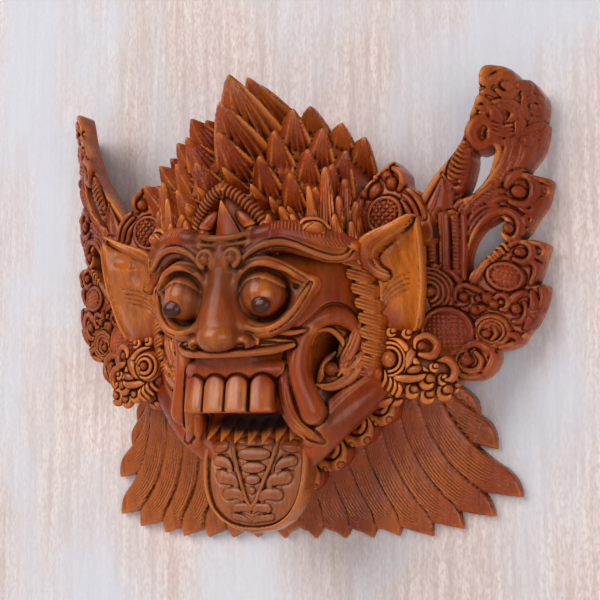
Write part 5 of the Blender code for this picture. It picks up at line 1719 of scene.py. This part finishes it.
class MASK_OT_carve_beard(Operator):
    """Carve the beard and the curls along the jaw"""

    bl_idname = "wall_mask.carve_beard"
    bl_label = "Carve Beard"

    def execute(self, context):
        sizes, wood = sizes_and_wood(context)
        attach(piece_from(carve_beard(sizes.beard_pitch), "beard", 110000, wood, BEARD_TONES))
        attach_pair(carve_jaw_curls(sizes.fine_pitch), "jaw_curls", 20000, wood, ())
        return {"FINISHED"}


class MASK_OT_carve_tongue(Operator):
    """Carve the tongue"""

    bl_idname = "wall_mask.carve_tongue"
    bl_label = "Carve Tongue"

    def execute(self, context):
        sizes, wood = sizes_and_wood(context)
        attach(piece_from(carve_tongue(sizes.fine_pitch), "tongue", 45000, wood, TONGUE_TONES))
        return {"FINISHED"}


class MASK_OT_set_stage(Operator):
    """Set up the wall, the floor, the light and the camera"""

    bl_idname = "wall_mask.set_stage"
    bl_label = "Set Stage"

    def execute(self, context):
        stage = context.scene.wall_mask_stage
        bare_scene()
        bpy.ops.mesh.primitive_plane_add(size=3.0, location=(0, 0.0008, 0), rotation=(math.radians(90), 0, 0))
        wall = context.active_object
        wall.name = "wall"
        bpy.ops.object.transform_apply(location=True, rotation=True, scale=True)
        wall.data.materials.append(wall_finish(stage))
        bpy.ops.mesh.primitive_plane_add(size=3.0, location=(0, -1.45, -0.75))
        floor = context.active_object
        floor.name = "floor"
        bpy.ops.object.transform_apply(location=True, rotation=True, scale=True)
        floor.data.materials.append(plain_finish("floor_paint", (0.8, 0.77, 0.74), 0.8))

        target = Vector((-1.47, 0, 0.26 - PAD_HEIGHT)) * UNIT
        toward = Vector((math.sin(stage.azimuth) * math.cos(stage.elevation),
                         -math.cos(stage.azimuth) * math.cos(stage.elevation), math.sin(stage.elevation)))
        bpy.ops.object.camera_add(location=target + toward * stage.distance)
        camera = context.active_object
        camera.rotation_euler = toward.to_track_quat("Z", "Y").to_euler()
        camera.data.lens = stage.lens
        camera.data.sensor_width = 36.0
        context.scene.camera = camera

        context.scene.view_settings.view_transform = "Standard"
        world = context.scene.world or bpy.data.worlds.new("room")
        context.scene.world = world
        world.use_nodes = True
        world.node_tree.nodes["Background"].inputs[0].default_value = (0.74, 0.86, 1.0, 1)
        world.node_tree.nodes["Background"].inputs[1].default_value = stage.room_light
        for place, size, energy in (((-1.3, -2.3, 1.4), 2.2, stage.key_light),
                                    ((1.7, -2.3, -0.4), 2.0, stage.fill_light)):
            bpy.ops.object.light_add(type="AREA", location=place)
            window = context.active_object
            window.data.energy = energy
            window.data.size = size
            window.data.color = (1.0, 0.94, 0.85)
            window.rotation_euler = (window.location - target).to_track_quat("Z", "Y").to_euler()
        return {"FINISHED"}


class MASK_PT_panel(Panel):
    """Lists the steps and the settings"""

    bl_idname = "MASK_PT_panel"
    bl_label = "Wall Mask"
    bl_space_type = "VIEW_3D"
    bl_region_type = "UI"
    bl_category = "Wall Mask"

    def draw(self, context):
        layout = self.layout
        for step in STEPS:
            layout.operator(step.bl_idname)
        for group in (context.scene.wall_mask_look, context.scene.wall_mask_sizes,
                      context.scene.wall_mask_stage):
            for name in group.bl_rna.properties.keys():
                if name not in {"rna_type", "name"}:
                    layout.prop(group, name)


STEPS = (MASK_OT_carve_face, MASK_OT_carve_cheeks, MASK_OT_carve_ears, MASK_OT_carve_wings,
         MASK_OT_carve_crest, MASK_OT_carve_beard, MASK_OT_carve_tongue, MASK_OT_set_stage)
GROUPS = (WallMaskLook, WallMaskSizes, WallMaskStage)


def register():
    for kind in (*GROUPS, *STEPS, MASK_PT_panel):
        bpy.utils.register_class(kind)
    bpy.types.Scene.wall_mask_look = PointerProperty(type=WallMaskLook)
    bpy.types.Scene.wall_mask_sizes = PointerProperty(type=WallMaskSizes)
    bpy.types.Scene.wall_mask_stage = PointerProperty(type=WallMaskStage)


def unregister():
    del bpy.types.Scene.wall_mask_look
    del bpy.types.Scene.wall_mask_sizes
    del bpy.types.Scene.wall_mask_stage
    for kind in (MASK_PT_panel, *reversed(STEPS), *reversed(GROUPS)):
        bpy.utils.unregister_class(kind)


def main():
    register()
    bpy.ops.wall_mask.carve_face()
    bpy.ops.wall_mask.carve_cheeks()
    bpy.ops.wall_mask.carve_ears()
    bpy.ops.wall_mask.carve_wings()
    bpy.ops.wall_mask.carve_crest()
    bpy.ops.wall_mask.carve_beard()
    bpy.ops.wall_mask.carve_tongue()
    bpy.ops.wall_mask.set_stage()


if __name__ == "__main__":
    main()
